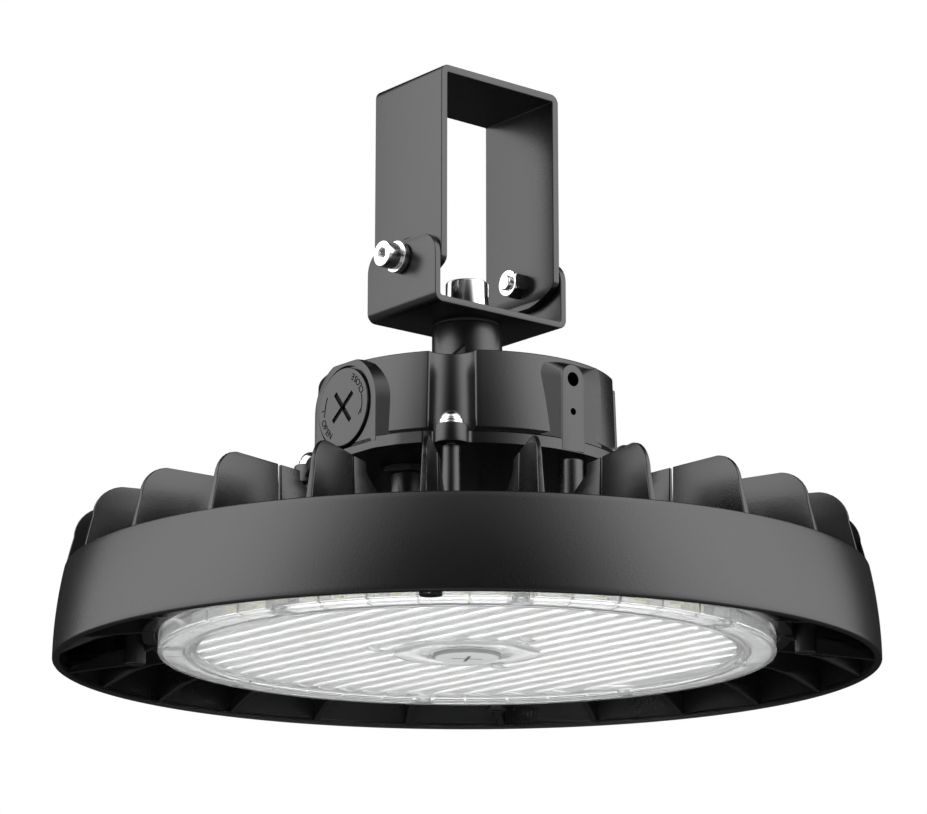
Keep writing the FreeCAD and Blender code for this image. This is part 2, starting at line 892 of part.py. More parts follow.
def make_driver_module():
    length, width, height = driver_size
    case = block(driver_x - length / 2, driver_x + length / 2, -width / 2, width / 2,
                 base_top, base_top + height)
    upright = [e for e in case.Edges if abs(e.tangentAt(e.FirstParameter).z) > 0.9]
    case = case.makeFillet(driver_corner, upright)
    tabs = []
    for tab in driver_tabs(driver_tab_radius, base_top, base_top + driver_tab_height):
        y = tab.CenterOfMass.y
        tabs.append(tab)
        tabs.append(block(driver_tab_x - driver_tab_radius, driver_tab_x + driver_tab_radius,
                          min(0, y), max(0, y), base_top, base_top + driver_tab_height))
    case = joined(case, tabs)
    top = base_top + driver_tab_height + 1
    return case.cut(driver_tabs(m3["shank"] + screw_clearance, base_top - 1, top))


def make_driver_screws():
    one = turned_over(screw(m3, driver_tab_height + base_thickness - screw_end_gap))
    top = base_top + driver_tab_height
    return [placed(one, V(driver_tab_x, side * driver_tab_y, top)) for side in (-1, 1)]


def make_terminal_block():
    length, width, height = terminal_size
    body = block(entry_x - length / 2, entry_x + length / 2, terminal_y - width / 2, terminal_y + width / 2,
                 base_top, base_top + height)
    cuts = []
    top = base_top + height
    front = terminal_y - width / 2
    low = base_top + terminal_mouth_height
    for k in (-1, 0, 1):
        x = entry_x + k * terminal_pitch
        cuts.append(rod(terminal_screw_radius, top - terminal_screw_depth, top + 1, x, terminal_y))
        cuts.append(block(x - terminal_mouth / 2, x + terminal_mouth / 2, front - 1,
                          front + terminal_mouth_depth, low, low + terminal_mouth))
    return body.cut(cuts)


def make_port_receptacle():
    front = -port_cap_back + port_stem_length + receptacle_gap
    disc = along_x(receptacle_radius, front, front + receptacle_depth, port_height)
    foot = block(front, front + receptacle_depth, -receptacle_foot_half, receptacle_foot_half,
                 base_top, port_height)
    body = joined(disc, [foot])
    pins = []
    for k in range(pin_count):
        at = polar(pin_reach, 90 + 360 * k / pin_count)
        pins.append(along_x(pin_radius, front - 1, front + pin_depth, port_height + at.y, at.x))
    return body.cut(pins)


def make_housing_screws():
    one = turned_over(screw(m5, screw_seat - lug_bottom + lug_screw_depth, domed=True))
    return ring_of(one, quarter, lug_reach, screw_seat, first_post_angle)


def make_housing_spring_washers():
    one = split_ring(screw_spring_radius, m5["shank"] + screw_clearance, screw_spring_thickness)
    return ring_of(one, quarter, lug_reach, lug_top + screw_washer_thickness, first_post_angle)


def make_housing_washers():
    one = tube(screw_washer_radius, m5["shank"] + screw_clearance, 0, screw_washer_thickness)
    return ring_of(one, quarter, lug_reach, lug_top, first_post_angle)


def facing(shape, side, x, z):
    """Turn a piece made along Z so that its top faces -X or +X, with its z = 0 plane at this x."""
    copy = shape.copy()
    copy.rotate(ORIGIN, V(0, 1, 0), 90 * side)
    copy.translate(V(side * x, 0, z))
    return copy


def make_port_cap():
    stem = rod(port_stem_radius, -port_stem_length, 0.5)
    disc = rod(port_cap_radius, 0, port_cap_thickness)
    rim = [e for e in disc.Edges if abs(e.CenterOfMass.z - port_cap_thickness) < 0.1]
    body = joined(disc.makeFillet(port_cap_edge, rim), [stem])
    low = -port_seal_depth
    groove = tube(port_stem_radius + 1, port_stem_radius - seal_section, low, low + 2 * seal_section)
    slot = cross(cross_length, cross_width, port_cap_thickness - cross_depth, port_cap_thickness + 1)
    return facing(body.cut([groove, slot]), -1, port_cap_back, port_height)


def make_port_cap_seal():
    low = -port_seal_depth
    seal = tube(port_stem_radius, port_stem_radius - seal_section, low, low + 2 * seal_section)
    return facing(seal, -1, port_cap_back, port_height)


# Yoke: the cradle swivels on the neck, and the bracket tilts in the cradle
def bent_strip(outer, sheet, bend, floor_outside, leg_end):
    """U section in the XZ plane. The floor lies at floor_outside and the legs run to leg_end."""
    way = 1 if leg_end > floor_outside else -1
    slack = bend * (1 - math.sqrt(0.5))
    inner_bend = bend - sheet
    inner_slack = inner_bend * (1 - math.sqrt(0.5))
    inner = outer - sheet
    f = floor_outside
    g = floor_outside + way * sheet
    return outline(
        (-outer, leg_end),
        (-outer, f + way * bend),
        ((-outer + slack, f + way * slack), (-outer + bend, f)),
        (outer - bend, f),
        ((outer - slack, f + way * slack), (outer, f + way * bend)),
        (outer, leg_end),
        (inner, leg_end),
        (inner, g + way * inner_bend),
        ((inner - inner_slack, g + way * inner_slack), (inner - inner_bend, g)),
        (-inner + inner_bend, g),
        ((-inner + inner_slack, g + way * inner_slack), (-inner, g + way * inner_bend)),
        (-inner, leg_end),
    )


def side_view(points_face, width):
    """Prism of an XZ outline turned so that it bounds a bracket's side view, seen along X."""
    prism = standing_plate(points_face, width)
    prism.rotate(ORIGIN, UP, 90)
    return prism


def make_cradle():
    strip = standing_plate(
        bent_strip(cradle_outer, cradle_sheet, cradle_bend, cradle_bottom, cradle_leg_top), cradle_depth)
    half = cradle_depth / 2
    corner = cradle_leg_corner
    bevel = corner * (1 - math.sqrt(0.5))
    top = cradle_leg_top
    side = outline(
        (-half, cradle_bottom - 1),
        (half, cradle_bottom - 1),
        (half, top - corner),
        ((half - bevel, top - bevel), (half - corner, top)),
        (-half + corner, top),
        ((-half + bevel, top - bevel), (-half, top - corner)),
    )
    body = strip.common(side_view(side, 2 * cradle_width))
    return body.cut([rod(swivel_shank_radius + turning_clearance, cradle_bottom - 1, cradle_floor + 1),
                     pivot_bore(pivot_radius + thread_clearance)])


def pivot_bore(radius):
    return along_x(radius, -cradle_width, cradle_width, pivot_height)


def make_upper_bracket():
    strip = standing_plate(
        bent_strip(bracket_outer, bracket_sheet, bracket_bend, bracket_top, bracket_end - 1), bracket_depth)
    half = bracket_depth / 2
    corner_z = bracket_end + bracket_end_curve - math.sqrt(bracket_end_curve ** 2 - half ** 2)
    side = outline(
        (half, bracket_top + 1),
        (-half, bracket_top + 1),
        (-half, corner_z),
        ((0, bracket_end), (half, corner_z)),
    )
    prism = side_view(side, 2 * cradle_width)
    low = [e for e in prism.Edges
           if abs(e.tangentAt(e.FirstParameter).x) > 0.9 and abs(e.CenterOfMass.z - corner_z) < 0.5]
    prism = prism.makeFillet(bracket_corner, low)
    return strip.common(prism).cut(pivot_bore(pivot_radius + turning_clearance))


def both_sides(shape, x):
    return [facing(shape, side, x, pivot_height) for side in (-1, 1)]


def make_pivot_bolts():
    head = rod(pivot_head_radius, 0, pivot_head_height)
    rim = [e for e in head.Edges if abs(e.CenterOfMass.z - pivot_head_height) < 0.1]
    head = head.makeChamfer(pivot_head_edge, rim)
    bolt = joined(head, [rod(pivot_radius, -pivot_length, 0.5)])
    socket = hexagon(pivot_socket_flat, pivot_head_height - pivot_socket_depth, pivot_head_height + 1)
    return both_sides(bolt.cut(socket), pivot_seat)


def split_ring(outer, inner, thickness):
    ring = tube(outer, inner, 0, thickness)
    gap = block(0, outer + 1, -spring_gap / 2, spring_gap / 2, -1, thickness + 1)
    return ring.cut(gap)


def make_pivot_spring_washers():
    one = split_ring(pivot_spring_radius, pivot_radius + thread_clearance, pivot_spring_thickness)
    return both_sides(one, cradle_outer + pivot_washer_thickness)


def make_pivot_washers():
    one = tube(pivot_washer_radius, pivot_radius + thread_clearance, 0, pivot_washer_thickness)
    return both_sides(one, cradle_outer)


def make_pivot_liners():
    one = tube(pivot_liner_radius, pivot_radius + thread_clearance, 0, liner_thickness)
    return both_sides(one, bracket_outer)


def make_pivot_nuts():
    nut = hexagon(pivot_nut_flat, 0, pivot_nut_height)
    corner = pivot_nut_flat / math.sqrt(3)
    middle = pivot_nut_height / 2
    ball = Part.makeSphere(math.hypot(corner, middle - pivot_nut_edge), V(0, 0, middle))
    nut = nut.common(ball).cut(rod(pivot_radius, -1, pivot_nut_height + 1))
    return both_sides(nut, bracket_inner - pivot_nut_height)


def make_swivel_bolt():
    head = rod(swivel_head_radius, swivel_seat, swivel_seat + swivel_head_height)
    rim = [e for e in head.Edges if abs(e.CenterOfMass.z - head.BoundBox.ZMax) < 0.1]
    head = head.makeChamfer(swivel_head_edge, rim)
    bolt = joined(head, [rod(swivel_shank_radius, swivel_end, swivel_seat + 0.5)])
    top = swivel_seat + swivel_head_height
    return bolt.cut(hexagon(swivel_socket_flat, top - swivel_socket_depth, top + 1))


def make_swivel_spring_washer():
    low = cradle_floor + swivel_plain_thickness
    ring = split_ring(swivel_head_radius, swivel_shank_radius + thread_clearance, swivel_spring_thickness)
    return placed(spun(ring, 90), V(0, 0, low))


def make_swivel_plain_washer():
    return tube(swivel_plain_radius, swivel_shank_radius + thread_clearance,
                cradle_floor, cradle_floor + swivel_plain_thickness)


def make_swivel_liner():
    return tube(swivel_liner_radius, swivel_shank_radius + thread_clearance, neck_top, cradle_bottom)


NODES = {
    "outer_ring": make_outer_ring,
    "heat_sink": make_heat_sink,
    "housing_posts": make_housing_posts,
    "side_posts": make_side_posts,
    "wire_turret": make_wire_turret,
    "ring_screws": make_ring_screws,
    "lens_cover": make_lens_cover,
    "lens_gasket": make_lens_gasket,
    "lens_screws": make_lens_screws,
    "led_board": make_led_board,
    "led_chips": make_led_chips,
    "board_screws": make_board_screws,
    "sensor_socket": make_sensor_socket,
    "sensor_socket_seal": make_sensor_socket_seal,
    "sensor_cap": make_sensor_cap,
    "sensor_cap_seal": make_sensor_cap_seal,
    "driver_housing": make_driver_housing,
    "housing_base": make_housing_base,
    "housing_gasket": make_housing_gasket,
    "base_screws": make_base_screws,
    "wire_nipple": make_wire_nipple,
    "nipple_nut": make_nipple_nut,
    "nipple_seal": make_nipple_seal,
    "driver_module": make_driver_module,
    "driver_screws": make_driver_screws,
    "terminal_block": make_terminal_block,
    "port_receptacle": make_port_receptacle,
    "housing_screws": make_housing_screws,
    "housing_washers": make_housing_washers,
    "housing_spring_washers": make_housing_spring_washers,
    "port_cap": make_port_cap,
    "port_cap_seal": make_port_cap_seal,
    "swivel_liner": make_swivel_liner,
    "cradle": make_cradle,
    "swivel_bolt": make_swivel_bolt,
    "swivel_spring_washer": make_swivel_spring_washer,
    "swivel_plain_washer": make_swivel_plain_washer,
    "upper_bracket": make_upper_bracket,
    "pivot_bolts": make_pivot_bolts,
    "pivot_spring_washers": make_pivot_spring_washers,
    "pivot_washers": make_pivot_washers,
    "pivot_liners": make_pivot_liners,
    "pivot_nuts": make_pivot_nuts,
}


def main():
    os.makedirs("parts", exist_ok=True)
    for name, make in NODES.items():
        shape = make()
        if isinstance(shape, list):
            shape = Part.makeCompound(shape)
        box = shape.BoundBox
        print(name, "valid", shape.isValid(), "solids", len(shape.Solids), "volume", round(shape.Volume),
              "z", round(box.ZMin, 2), round(box.ZMax, 2))
        shape.exportStep("parts/" + name + ".step")


main()
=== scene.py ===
# %% [markdown]
# High bay light, dressed for a picture
#
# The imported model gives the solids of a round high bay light: a finned shroud, a heat sink, a ribbed
# lens, a driver housing and a tilting yoke. Each cell below takes one piece or one finish, says what it
# is on the real light, and makes it in Blender. Lengths are in metres, and Z is the light's axis.

# %% Load the frame
import bmesh
import bpy
import json
from math import acos, asin, atan2, cos, degrees, pi, radians, sin, sqrt, tan, tau
from mathutils import Matrix, Vector


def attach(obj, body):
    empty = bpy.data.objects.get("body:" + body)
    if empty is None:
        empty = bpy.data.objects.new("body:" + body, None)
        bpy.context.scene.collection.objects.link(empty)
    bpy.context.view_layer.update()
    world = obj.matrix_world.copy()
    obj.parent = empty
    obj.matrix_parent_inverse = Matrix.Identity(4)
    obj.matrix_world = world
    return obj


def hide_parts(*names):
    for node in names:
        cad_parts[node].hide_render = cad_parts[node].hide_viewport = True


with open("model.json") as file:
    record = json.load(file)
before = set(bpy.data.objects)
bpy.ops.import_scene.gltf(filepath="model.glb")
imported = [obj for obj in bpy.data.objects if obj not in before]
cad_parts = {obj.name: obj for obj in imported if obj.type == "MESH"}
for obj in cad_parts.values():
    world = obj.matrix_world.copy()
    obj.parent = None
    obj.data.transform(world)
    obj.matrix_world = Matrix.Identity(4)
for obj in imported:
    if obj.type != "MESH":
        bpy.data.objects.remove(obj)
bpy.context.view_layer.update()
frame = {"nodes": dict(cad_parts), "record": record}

MM = 0.001

# %% [markdown]
# Sums in node trees
#
# Shader and Geometry Nodes trees both add up values with Math nodes. Written by hand, that takes four
# lines for each sum. The class Wire wraps one socket, so that Python's own + - * / add the nodes, and
# the class Tree adds any other node in one call. Both kinds of tree share them.

# %% Wires and trees
def sum_of(operation, swapped=False):
    """Method for one of Python's signs. Swapped is for a plain number on the left."""
    def method(wire, other):
        first, second = (other, wire) if swapped else (wire, other)
        return wire.math(operation, first, second)
    return method


class Wire:
    """One output socket of a tree, which takes part in sums."""

    __add__, __radd__ = sum_of("ADD"), sum_of("ADD", True)
    __sub__, __rsub__ = sum_of("SUBTRACT"), sum_of("SUBTRACT", True)
    __mul__, __rmul__ = sum_of("MULTIPLY"), sum_of("MULTIPLY", True)
    __truediv__ = sum_of("DIVIDE")

    def __init__(self, tree, socket):
        self.tree = tree
        self.socket = socket

    def math(self, operation, first, second=None):
        values = {0: first} if second is None else {0: first, 1: second}
        return self.tree.node("ShaderNodeMath", {"operation": operation}, values)

    def fade(self, low, high):
        """0 below low and 1 above high, with a smooth change between them."""
        settings = {"interpolation_type": "SMOOTHSTEP"}
        return self.tree.node("ShaderNodeMapRange", settings, {0: self, 1: low, 2: high})


class Tree:
    """A node tree that grows by one node a call."""

    def __init__(self, nodes):
        self.nodes = nodes

    def node(self, kind, settings=None, values=None, output=0):
        made = self.nodes.nodes.new(kind)
        for name, value in (settings or {}).items():
            if name == "stops":
                ramp = made.color_ramp.elements
                while len(ramp) < len(value):
                    ramp.new(0.5)
                for element, (place, colour) in zip(ramp, value):
                    element.position = place
                    element.color = colour
            else:
                setattr(made, name, value)
        for name, value in (values or {}).items():
            self.feed(made.inputs[name], value)
        return Wire(self, made.outputs[output])

    def feed(self, socket, value):
        if isinstance(value, Wire):
            self.nodes.links.new(value.socket, socket)
        else:
            socket.default_value = value


print("Wire and Tree are ready")

# %% [markdown]
# Finishes
#
# A Finish is a material with one Principled shader. What is the same all over is set on the shader's
# own sockets. What changes over the surface reads Object coordinates, which stay put on the piece,
# because every piece has its object at the origin.

# %% The Finish class
class Finish(Tree):
    """A material whose Principled shader takes constants by name and links by feed."""

    def __init__(self, name, **constants):
        self.material = bpy.data.materials.new(name)
        self.material.use_nodes = True
        super().__init__(self.material.node_tree)
        self.shader = self.nodes.nodes["Principled BSDF"]
        for socket, value in constants.items():
            self.shader.inputs[socket.replace("_", " ")].default_value = value

    def place(self):
        return self.node("ShaderNodeTexCoord", output=3)

    def noise(self, scale, detail=2.0, roughness=0.5):
        values = {"Vector": self.place(), "Scale": scale, "Detail": detail, "Roughness": roughness}
        return self.node("ShaderNodeTexNoise", None, values)

    def blend(self, factor, one, other):
        settings = {"data_type": "RGBA"}
        return self.node("ShaderNodeMix", settings, {0: factor, 6: one, 7: other}, output=2)

    def drive(self, socket, value):
        self.feed(self.shader.inputs[socket], value)

    def bump(self, height, strength, distance):
        values = {"Strength": strength, "Distance": distance, "Height": height}
        self.drive("Normal", self.node("ShaderNodeBump", None, values))


print("Finish is ready")

# %% [markdown]
# Black powder coat
#
# The castings and the yoke wear a satin black powder coat. Baked powder never levels fully, so the real
# one has an orange-peel surface with grains of under a millimetre, and rubbed spots that are a little
# glossier. Two noises make that: a fine one for the bump, and a broad one that moves the roughness.
# The castings have the coarser skin, because the die leaves its own texture below the powder.

# %% Powder coats
def powder_coat(name, grain, depth, shade):
    coat = Finish(name, Specular_IOR_Level=0.5)
    broad = coat.noise(28.0, 3.0)
    fine = coat.noise(grain, 4.0, 0.6)
    darker = (shade * 0.85, shade * 0.85, shade * 0.88, 1)
    paler = (shade * 1.2, shade * 1.2, shade * 1.25, 1)
    coat.drive("Base Color", coat.blend(broad, darker, paler))
    coat.drive("Roughness", 0.23 + 0.06 * broad + 0.05 * fine)
    coat.bump(fine, 0.35, depth)
    return coat.material


cast_black = powder_coat("cast_black", 900.0, 0.00012, 0.0036)
sheet_black = powder_coat("sheet_black", 1300.0, 0.00007, 0.004)
cap_black = powder_coat("cap_black", 1800.0, 0.00005, 0.006)
print("coats", cast_black.name, sheet_black.name, cap_black.name)

# %% [markdown]
# Bright steel
#
# The screws, washers, nuts and the swivel's head are plated steel. Turned and rolled faces keep a faint
# grain, so the roughness wavers slightly around a low value. A mirror finish would look like a toy.

# %% Plated steel
def plated(name, colour, roughness):
    metal = Finish(name, Metallic=1.0)
    grain = metal.noise(1500.0, 3.0)
    broad = metal.noise(120.0)
    dull = tuple(0.9 * c for c in colour)
    metal.drive("Base Color", metal.blend(broad, dull + (1,), colour + (1,)))
    metal.drive("Roughness", roughness + 0.08 * grain)
    metal.bump(grain, 0.1, 0.00003)
    return metal.material


bright_steel = plated("bright_steel", (0.86, 0.86, 0.87), 0.12)
print("metal", bright_steel.name)

# %% [markdown]
# Plastics, rubber and the light board
#
# The sensor cap is light grey plastic, the seals are matt silicone, and the board has a white solder
# mask that throws light forwards. Each one has its own grain, and none is one flat colour.

# %% Soft and moulded finishes
def moulded(name, colour, other, grain, roughness):
    plastic = Finish(name, Specular_IOR_Level=0.4)
    fine = plastic.noise(grain, 3.0)
    broad = plastic.noise(40.0)
    plastic.drive("Base Color", plastic.blend(broad, colour + (1,), other + (1,)))
    plastic.drive("Roughness", roughness + 0.1 * fine)
    plastic.bump(fine, 0.2, 0.00004)
    return plastic.material


cap_grey = moulded("cap_grey", (0.60, 0.61, 0.61), (0.66, 0.67, 0.67), 1600.0, 0.4)
seal_rubber = moulded("seal_rubber", (0.02, 0.02, 0.02), (0.03, 0.03, 0.03), 2200.0, 0.7)
board_white = moulded("board_white", (0.86, 0.87, 0.86), (0.90, 0.91, 0.90), 700.0, 0.35)
chip_yellow = moulded("chip_yellow", (0.90, 0.80, 0.42), (0.93, 0.86, 0.52), 3000.0, 0.5)
driver_grey = moulded("driver_grey", (0.12, 0.12, 0.13), (0.15, 0.15, 0.16), 900.0, 0.6)
# One near-black finish for the cap's printed letters and arrows, and for the painted shade that fills its cross.
print_and_shade_finish = Finish("cap_mark", Specular_IOR_Level=0.04)
print_and_shade_finish.drive("Base Color", print_and_shade_finish.blend(print_and_shade_finish.noise(900.0), (0.003, 0.003, 0.003, 1), (0.006, 0.006, 0.006, 1)))
cap_mark = print_and_shade_finish.material
white_seal = moulded("white_seal", (0.80, 0.81, 0.80), (0.86, 0.87, 0.86), 1800.0, 0.5)
edge_grey = moulded("edge_grey", (0.27, 0.27, 0.28), (0.31, 0.31, 0.32), 900.0, 0.5)
inner_grey = moulded("inner_grey", (0.45, 0.46, 0.47), (0.52, 0.53, 0.54), 900.0, 0.45)
print("plastics made")

# %% [markdown]
# Clear lens
#
# The cover is moulded in clear polycarbonate with a light haze. It could be a mix of a see-through and a
# glossy shader, but the ribs need real bending of the light to show their bright and dark lines. So it
# is a transmitting plastic with a small share of plain pale surface, which stands for the haze.

# %% Clear polycarbonate
def clear_plastic():
    clear = Finish("clear_lens", Transmission_Weight=0.8, IOR=1.33)
    cloud = clear.noise(60.0)
    fine = clear.noise(900.0, 3.0)
    clear.drive("Base Color", clear.blend(cloud, (0.95, 0.96, 0.96, 1), (0.98, 0.98, 0.98, 1)))
    clear.drive("Roughness", 0.02 + 0.05 * fine)
    return clear.material


clear_lens = clear_plastic()
print("lens", clear_lens.name)

# %% [markdown]
# Shapes from outlines
#
# Nearly every piece of the light is turned, cast or bent, so four small tools make them all. A lathe
# turns an outline about Z, as the die's round halves do. A stack joins outlines of equal length, which
# suits castings that taper. Corners are rounded in the outline itself, because a cast edge is never
# sharp and its thin highlight is what the eye reads. Sizes in these calls are in millimetres.

# %% Mesh tools
def in_scene(name, data):
    """New object in the scene for a mesh, a curve or a camera."""
    made = bpy.data.objects.new(name, data)
    bpy.context.scene.collection.objects.link(made)
    return made


def dressed(name, mesh, finish, soft=35):
    """Object for a mesh: faces outward, smooth except at edges sharper than soft degrees."""
    work = bmesh.new()
    work.from_mesh(mesh)
    bmesh.ops.remove_doubles(work, verts=work.verts, dist=1e-7)
    bmesh.ops.recalc_face_normals(work, faces=work.faces)
    work.to_mesh(mesh)
    work.free()
    mesh.shade_smooth()
    mesh.set_sharp_from_angle(angle=radians(soft))
    mesh.materials.clear()
    mesh.materials.append(finish)
    return in_scene(name, mesh)


def solid(name, points, faces, finish, soft=35):
    mesh = bpy.data.meshes.new(name)
    mesh.from_pydata([[c * MM for c in p] for p in points], [], faces)
    return dressed(name, mesh, finish, soft)


def rounded(corners, steps=4):
    """Outline whose corners, given as (x, y, radius), are turned into arcs."""
    made = []
    for i, (x, y, radius) in enumerate(corners):
        here = Vector((x, y))
        if radius == 0:
            made.append((x, y))
            continue
        back = Vector(corners[i - 1][:2]) - here
        ahead = Vector(corners[(i + 1) % len(corners)][:2]) - here
        half = back.angle(ahead) / 2
        run = min(radius / tan(half), 0.49 * back.length, 0.49 * ahead.length)
        middle = here + (back.normalized() + ahead.normalized()).normalized() * (run / cos(half))
        start = here + back.normalized() * run - middle
        end = here + ahead.normalized() * run - middle
        sweep = start.angle(end)
        if start.x * end.y < start.y * end.x:
            sweep = -sweep
        for k in range(steps + 1):
            a = sweep * k / steps
            made.append((middle.x + start.x * cos(a) - start.y * sin(a),
                         middle.y + start.x * sin(a) + start.y * cos(a)))
    return made


def rectangle(x0, x1, y0, y1, radius):
    """Outline of a rectangle with round corners."""
    return rounded([(x0, y0, radius), (x1, y0, radius), (x1, y1, radius), (x0, y1, radius)], 3)


def lathe(name, outline, finish, steps=48, soft=35, at=(0, 0)):
    """Solid turned about Z, or about a line beside it, from a closed outline of (radius, height)."""
    points = []
    for r, z in outline:
        for k in range(steps):
            a = tau * k / steps
            points.append((at[0] + r * cos(a), at[1] + r * sin(a), z))
    faces = []
    for i in range(len(outline)):
        low = i * steps
        high = (i + 1) % len(outline) * steps
        for k in range(steps):
            n = (k + 1) % steps
            faces.append((low + k, low + n, high + n, high + k))
    return solid(name, points, faces, finish, soft)


def stack(name, layers, finish, soft=35):
    """Solid through rings of points of equal length, with a flat face at each end."""
    size = len(layers[0])
    points = [p for layer in layers for p in layer]
    faces = [list(range(size)), list(range(len(points) - size, len(points)))]
    for i in range(len(layers) - 1):
        for k in range(size):
            n = (k + 1) % size
            faces.append((i * size + k, i * size + n, (i + 1) * size + n, (i + 1) * size + k))
    return solid(name, points, faces, finish, soft)


def plain_mesh(piece):
    """The mesh that an object's curve or modifiers make."""
    graph = bpy.context.evaluated_depsgraph_get()
    return bpy.data.meshes.new_from_object(piece.evaluated_get(graph))


def baked(piece):
    """Swap a piece's modifiers for the plain mesh that they make."""
    mesh = plain_mesh(piece)
    piece.modifiers.clear()
    piece.data = mesh
    return piece


def carved(piece, tools, operation="DIFFERENCE"):
    """Cut tools out of a piece, or join them to it, and throw the tools away."""
    for tool in tools:
        change = piece.modifiers.new("change", "BOOLEAN")
        change.operation = operation
        change.solver = "EXACT"
        change.object = tool
    baked(piece)
    for tool in tools:
        bpy.data.objects.remove(tool)
    piece.data.shade_smooth()
    piece.data.set_sharp_from_angle(angle=radians(35))
    return piece


def pin(radius, low, high, edge=0.4, hole=0.0, depth=0.0):
    """Outline of an upright pin with eased ends, and a hole of this depth from below if one is given."""
    if not hole:
        return rounded([(0, low, 0), (radius, low, edge), (radius, high, edge), (0, high, 0)])
    return rounded([(0, low + depth, 0), (hole, low + depth, 0), (hole, low, edge / 2),
                    (radius, low, edge), (radius, high, edge), (0, high, 0)])


def shown(piece, body="luminaire", stands_for=()):
    """Let a piece ride its body and stand for its CAD nodes, which it hides."""
    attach(piece, body)
    if stands_for:
        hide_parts(*stands_for)
    print(piece.name, "on", body, "with", len(piece.data.polygons), "faces")
    return piece


print("tools ready")

# %% [markdown]
# A ring of copies
#
# The fins, posts, lugs and screws of the light all repeat about its axis. One Geometry Nodes recipe
# makes every such ring: it sets points round a circle, puts a copy of the piece at each, turned to face
# outward, and then makes the copies real. Its inputs are the count, the circle and the first angle.

# %% Recipe for rings
class Recipe(Tree):
    """A Geometry Nodes group whose inputs are named sizes."""

    def __init__(self, name):
        super().__init__(bpy.data.node_groups.new(name, "GeometryNodeTree"))
        face = self.nodes.interface
        face.new_socket("Geometry", in_out="INPUT", socket_type="NodeSocketGeometry")
        face.new_socket("Geometry", in_out="OUTPUT", socket_type="NodeSocketGeometry")
        self.keys = {}
        self.start = self.nodes.nodes.new("NodeGroupInput")
        self.end = self.nodes.nodes.new("NodeGroupOutput")
        self.piece = Wire(self, self.start.outputs[0])

    def size(self, name, kind="NodeSocketFloat"):
        socket = self.nodes.interface.new_socket(name, in_out="INPUT", socket_type=kind)
        self.keys[name] = socket.identifier
        return Wire(self, self.start.outputs[name])

    def apply(self, piece, **sizes):
        change = piece.modifiers.new("recipe", "NODES")
        change.node_group = self.nodes
        for name, value in sizes.items():
            change[self.keys[name]] = value
        return baked(piece)


def ring_recipe():
    ring = Recipe("ring_of_copies")
    count = ring.size("count", "NodeSocketInt")
    radius = ring.size("radius")
    height = ring.size("height")
    first = ring.size("first")
    finish = ring.size("finish", "NodeSocketMaterial")
    turn = first + ring.node("GeometryNodeInputIndex") * tau / count
    across = turn.math("COSINE", turn) * radius
    along = turn.math("SINE", turn) * radius
    place = ring.node("ShaderNodeCombineXYZ", None, {0: across, 1: along, 2: height})
    spin = ring.node("ShaderNodeCombineXYZ", None, {2: turn})
    points = ring.node("GeometryNodePoints", None, {"Count": count, "Position": place})
    values = {"Points": points, "Instance": ring.piece, "Rotation": spin}
    copies = ring.node("GeometryNodeInstanceOnPoints", None, values)
    real = ring.node("GeometryNodeRealizeInstances", None, {0: copies})
    done = ring.node("GeometryNodeSetMaterial", None, {"Geometry": real, "Material": finish})
    ring.feed(ring.end.inputs[0], done)
    return ring


RING = ring_recipe()


def ringed(piece, count, radius=0.0, height=0.0, first=0.0, finish=None):
    """Ring of copies of a piece made at angle 0. Sizes in millimetres and degrees."""
    return RING.apply(piece, count=count, radius=radius * MM, height=height * MM,
                      first=radians(first), finish=finish or piece.data.materials[0])


print("ring recipe with", len(RING.nodes.nodes), "nodes")

# %% [markdown]
# Shroud
#
# The shroud is one die casting: a curved wall with a bead round its rim, a collar that sits on the heat
# sink, and 24 fins that stand up behind the wall. The wall's outline is an arc of 215 mm radius. Its rim
# and its top edge are rounded by about a millimetre, where they catch light. The slot between the two
# castings runs from SLOT_IN to SLOT_OUT.

# %% Shroud wall and collar
RIM = 201.0
BEAD = 3.6
CURVE = 215.0
WALL = 2.4
WALL_TOP = 44.8
SLOT_IN, SLOT_OUT = 147, 149
COLLAR, COLLAR_LOW = 152.1, 13.6
PLATE_TOP = 20.5


def shell(z):
    return RIM - CURVE + sqrt(CURVE ** 2 - z ** 2)


def wall_outline():
    heights = [WALL_TOP * k / 14 for k in range(15)]
    outer = [(shell(z), z, 0) for z in heights[1:-1]]
    top = [(shell(WALL_TOP), WALL_TOP, 1.0), (shell(WALL_TOP) - WALL, WALL_TOP, 1.0)]
    inner = [(shell(z) - WALL, z, 0) for z in reversed(heights[2:-1])]
    inner += [(shell(3) - WALL, 3, 0), (RIM - BEAD, 3, 0.6)]
    return rounded([(RIM - BEAD, 0, 0.7), (RIM, 0, 0.9)] + outer + top + inner)


shown(lathe("shroud_wall", wall_outline(), cast_black, 288), stands_for=["outer_ring"])
collar_corners = [(SLOT_OUT, PLATE_TOP), (COLLAR, PLATE_TOP), (COLLAR, COLLAR_LOW),
                  (158.4, COLLAR_LOW), (158.4, 26), (SLOT_OUT, 26)]
shown(lathe("shroud_collar", rounded([c + (0.5,) for c in collar_corners], 3), cast_black, 192))
post = lathe("guard_posts", pin(5.3, 4.7, 42, 0.6, hole=2.5, depth=14), cast_black, 40)
shown(ringed(post, 4, 164.6, first=45))
lug = lathe("shroud_lugs", pin(5.5, PLATE_TOP, 24.5), cast_black, 32)
shown(ringed(lug, 4, 142, first=7.5))

# %% [markdown]
# Fins
#
# Each fin is pulled from the die upwards, so it is 3.1 mm thick where it leaves the wall and 1.8 mm at
# its top. A fin is therefore stacked from thin upright slices: at each height the slice runs from its
# inner end to its outer end, and its four corners are rounded. The outer fins belong to the shroud, the
# inner ones to the heat sink, and a 2 mm slot parts them.

# %% Fins
FIN_TOP = 74.0
FIN_CORNER = 15.5
CORNER_LOW = FIN_TOP - FIN_CORNER


def fin_thickness(z):
    return 3.1 - 1.3 * max(0.0, z - WALL_TOP) / (FIN_TOP - WALL_TOP)


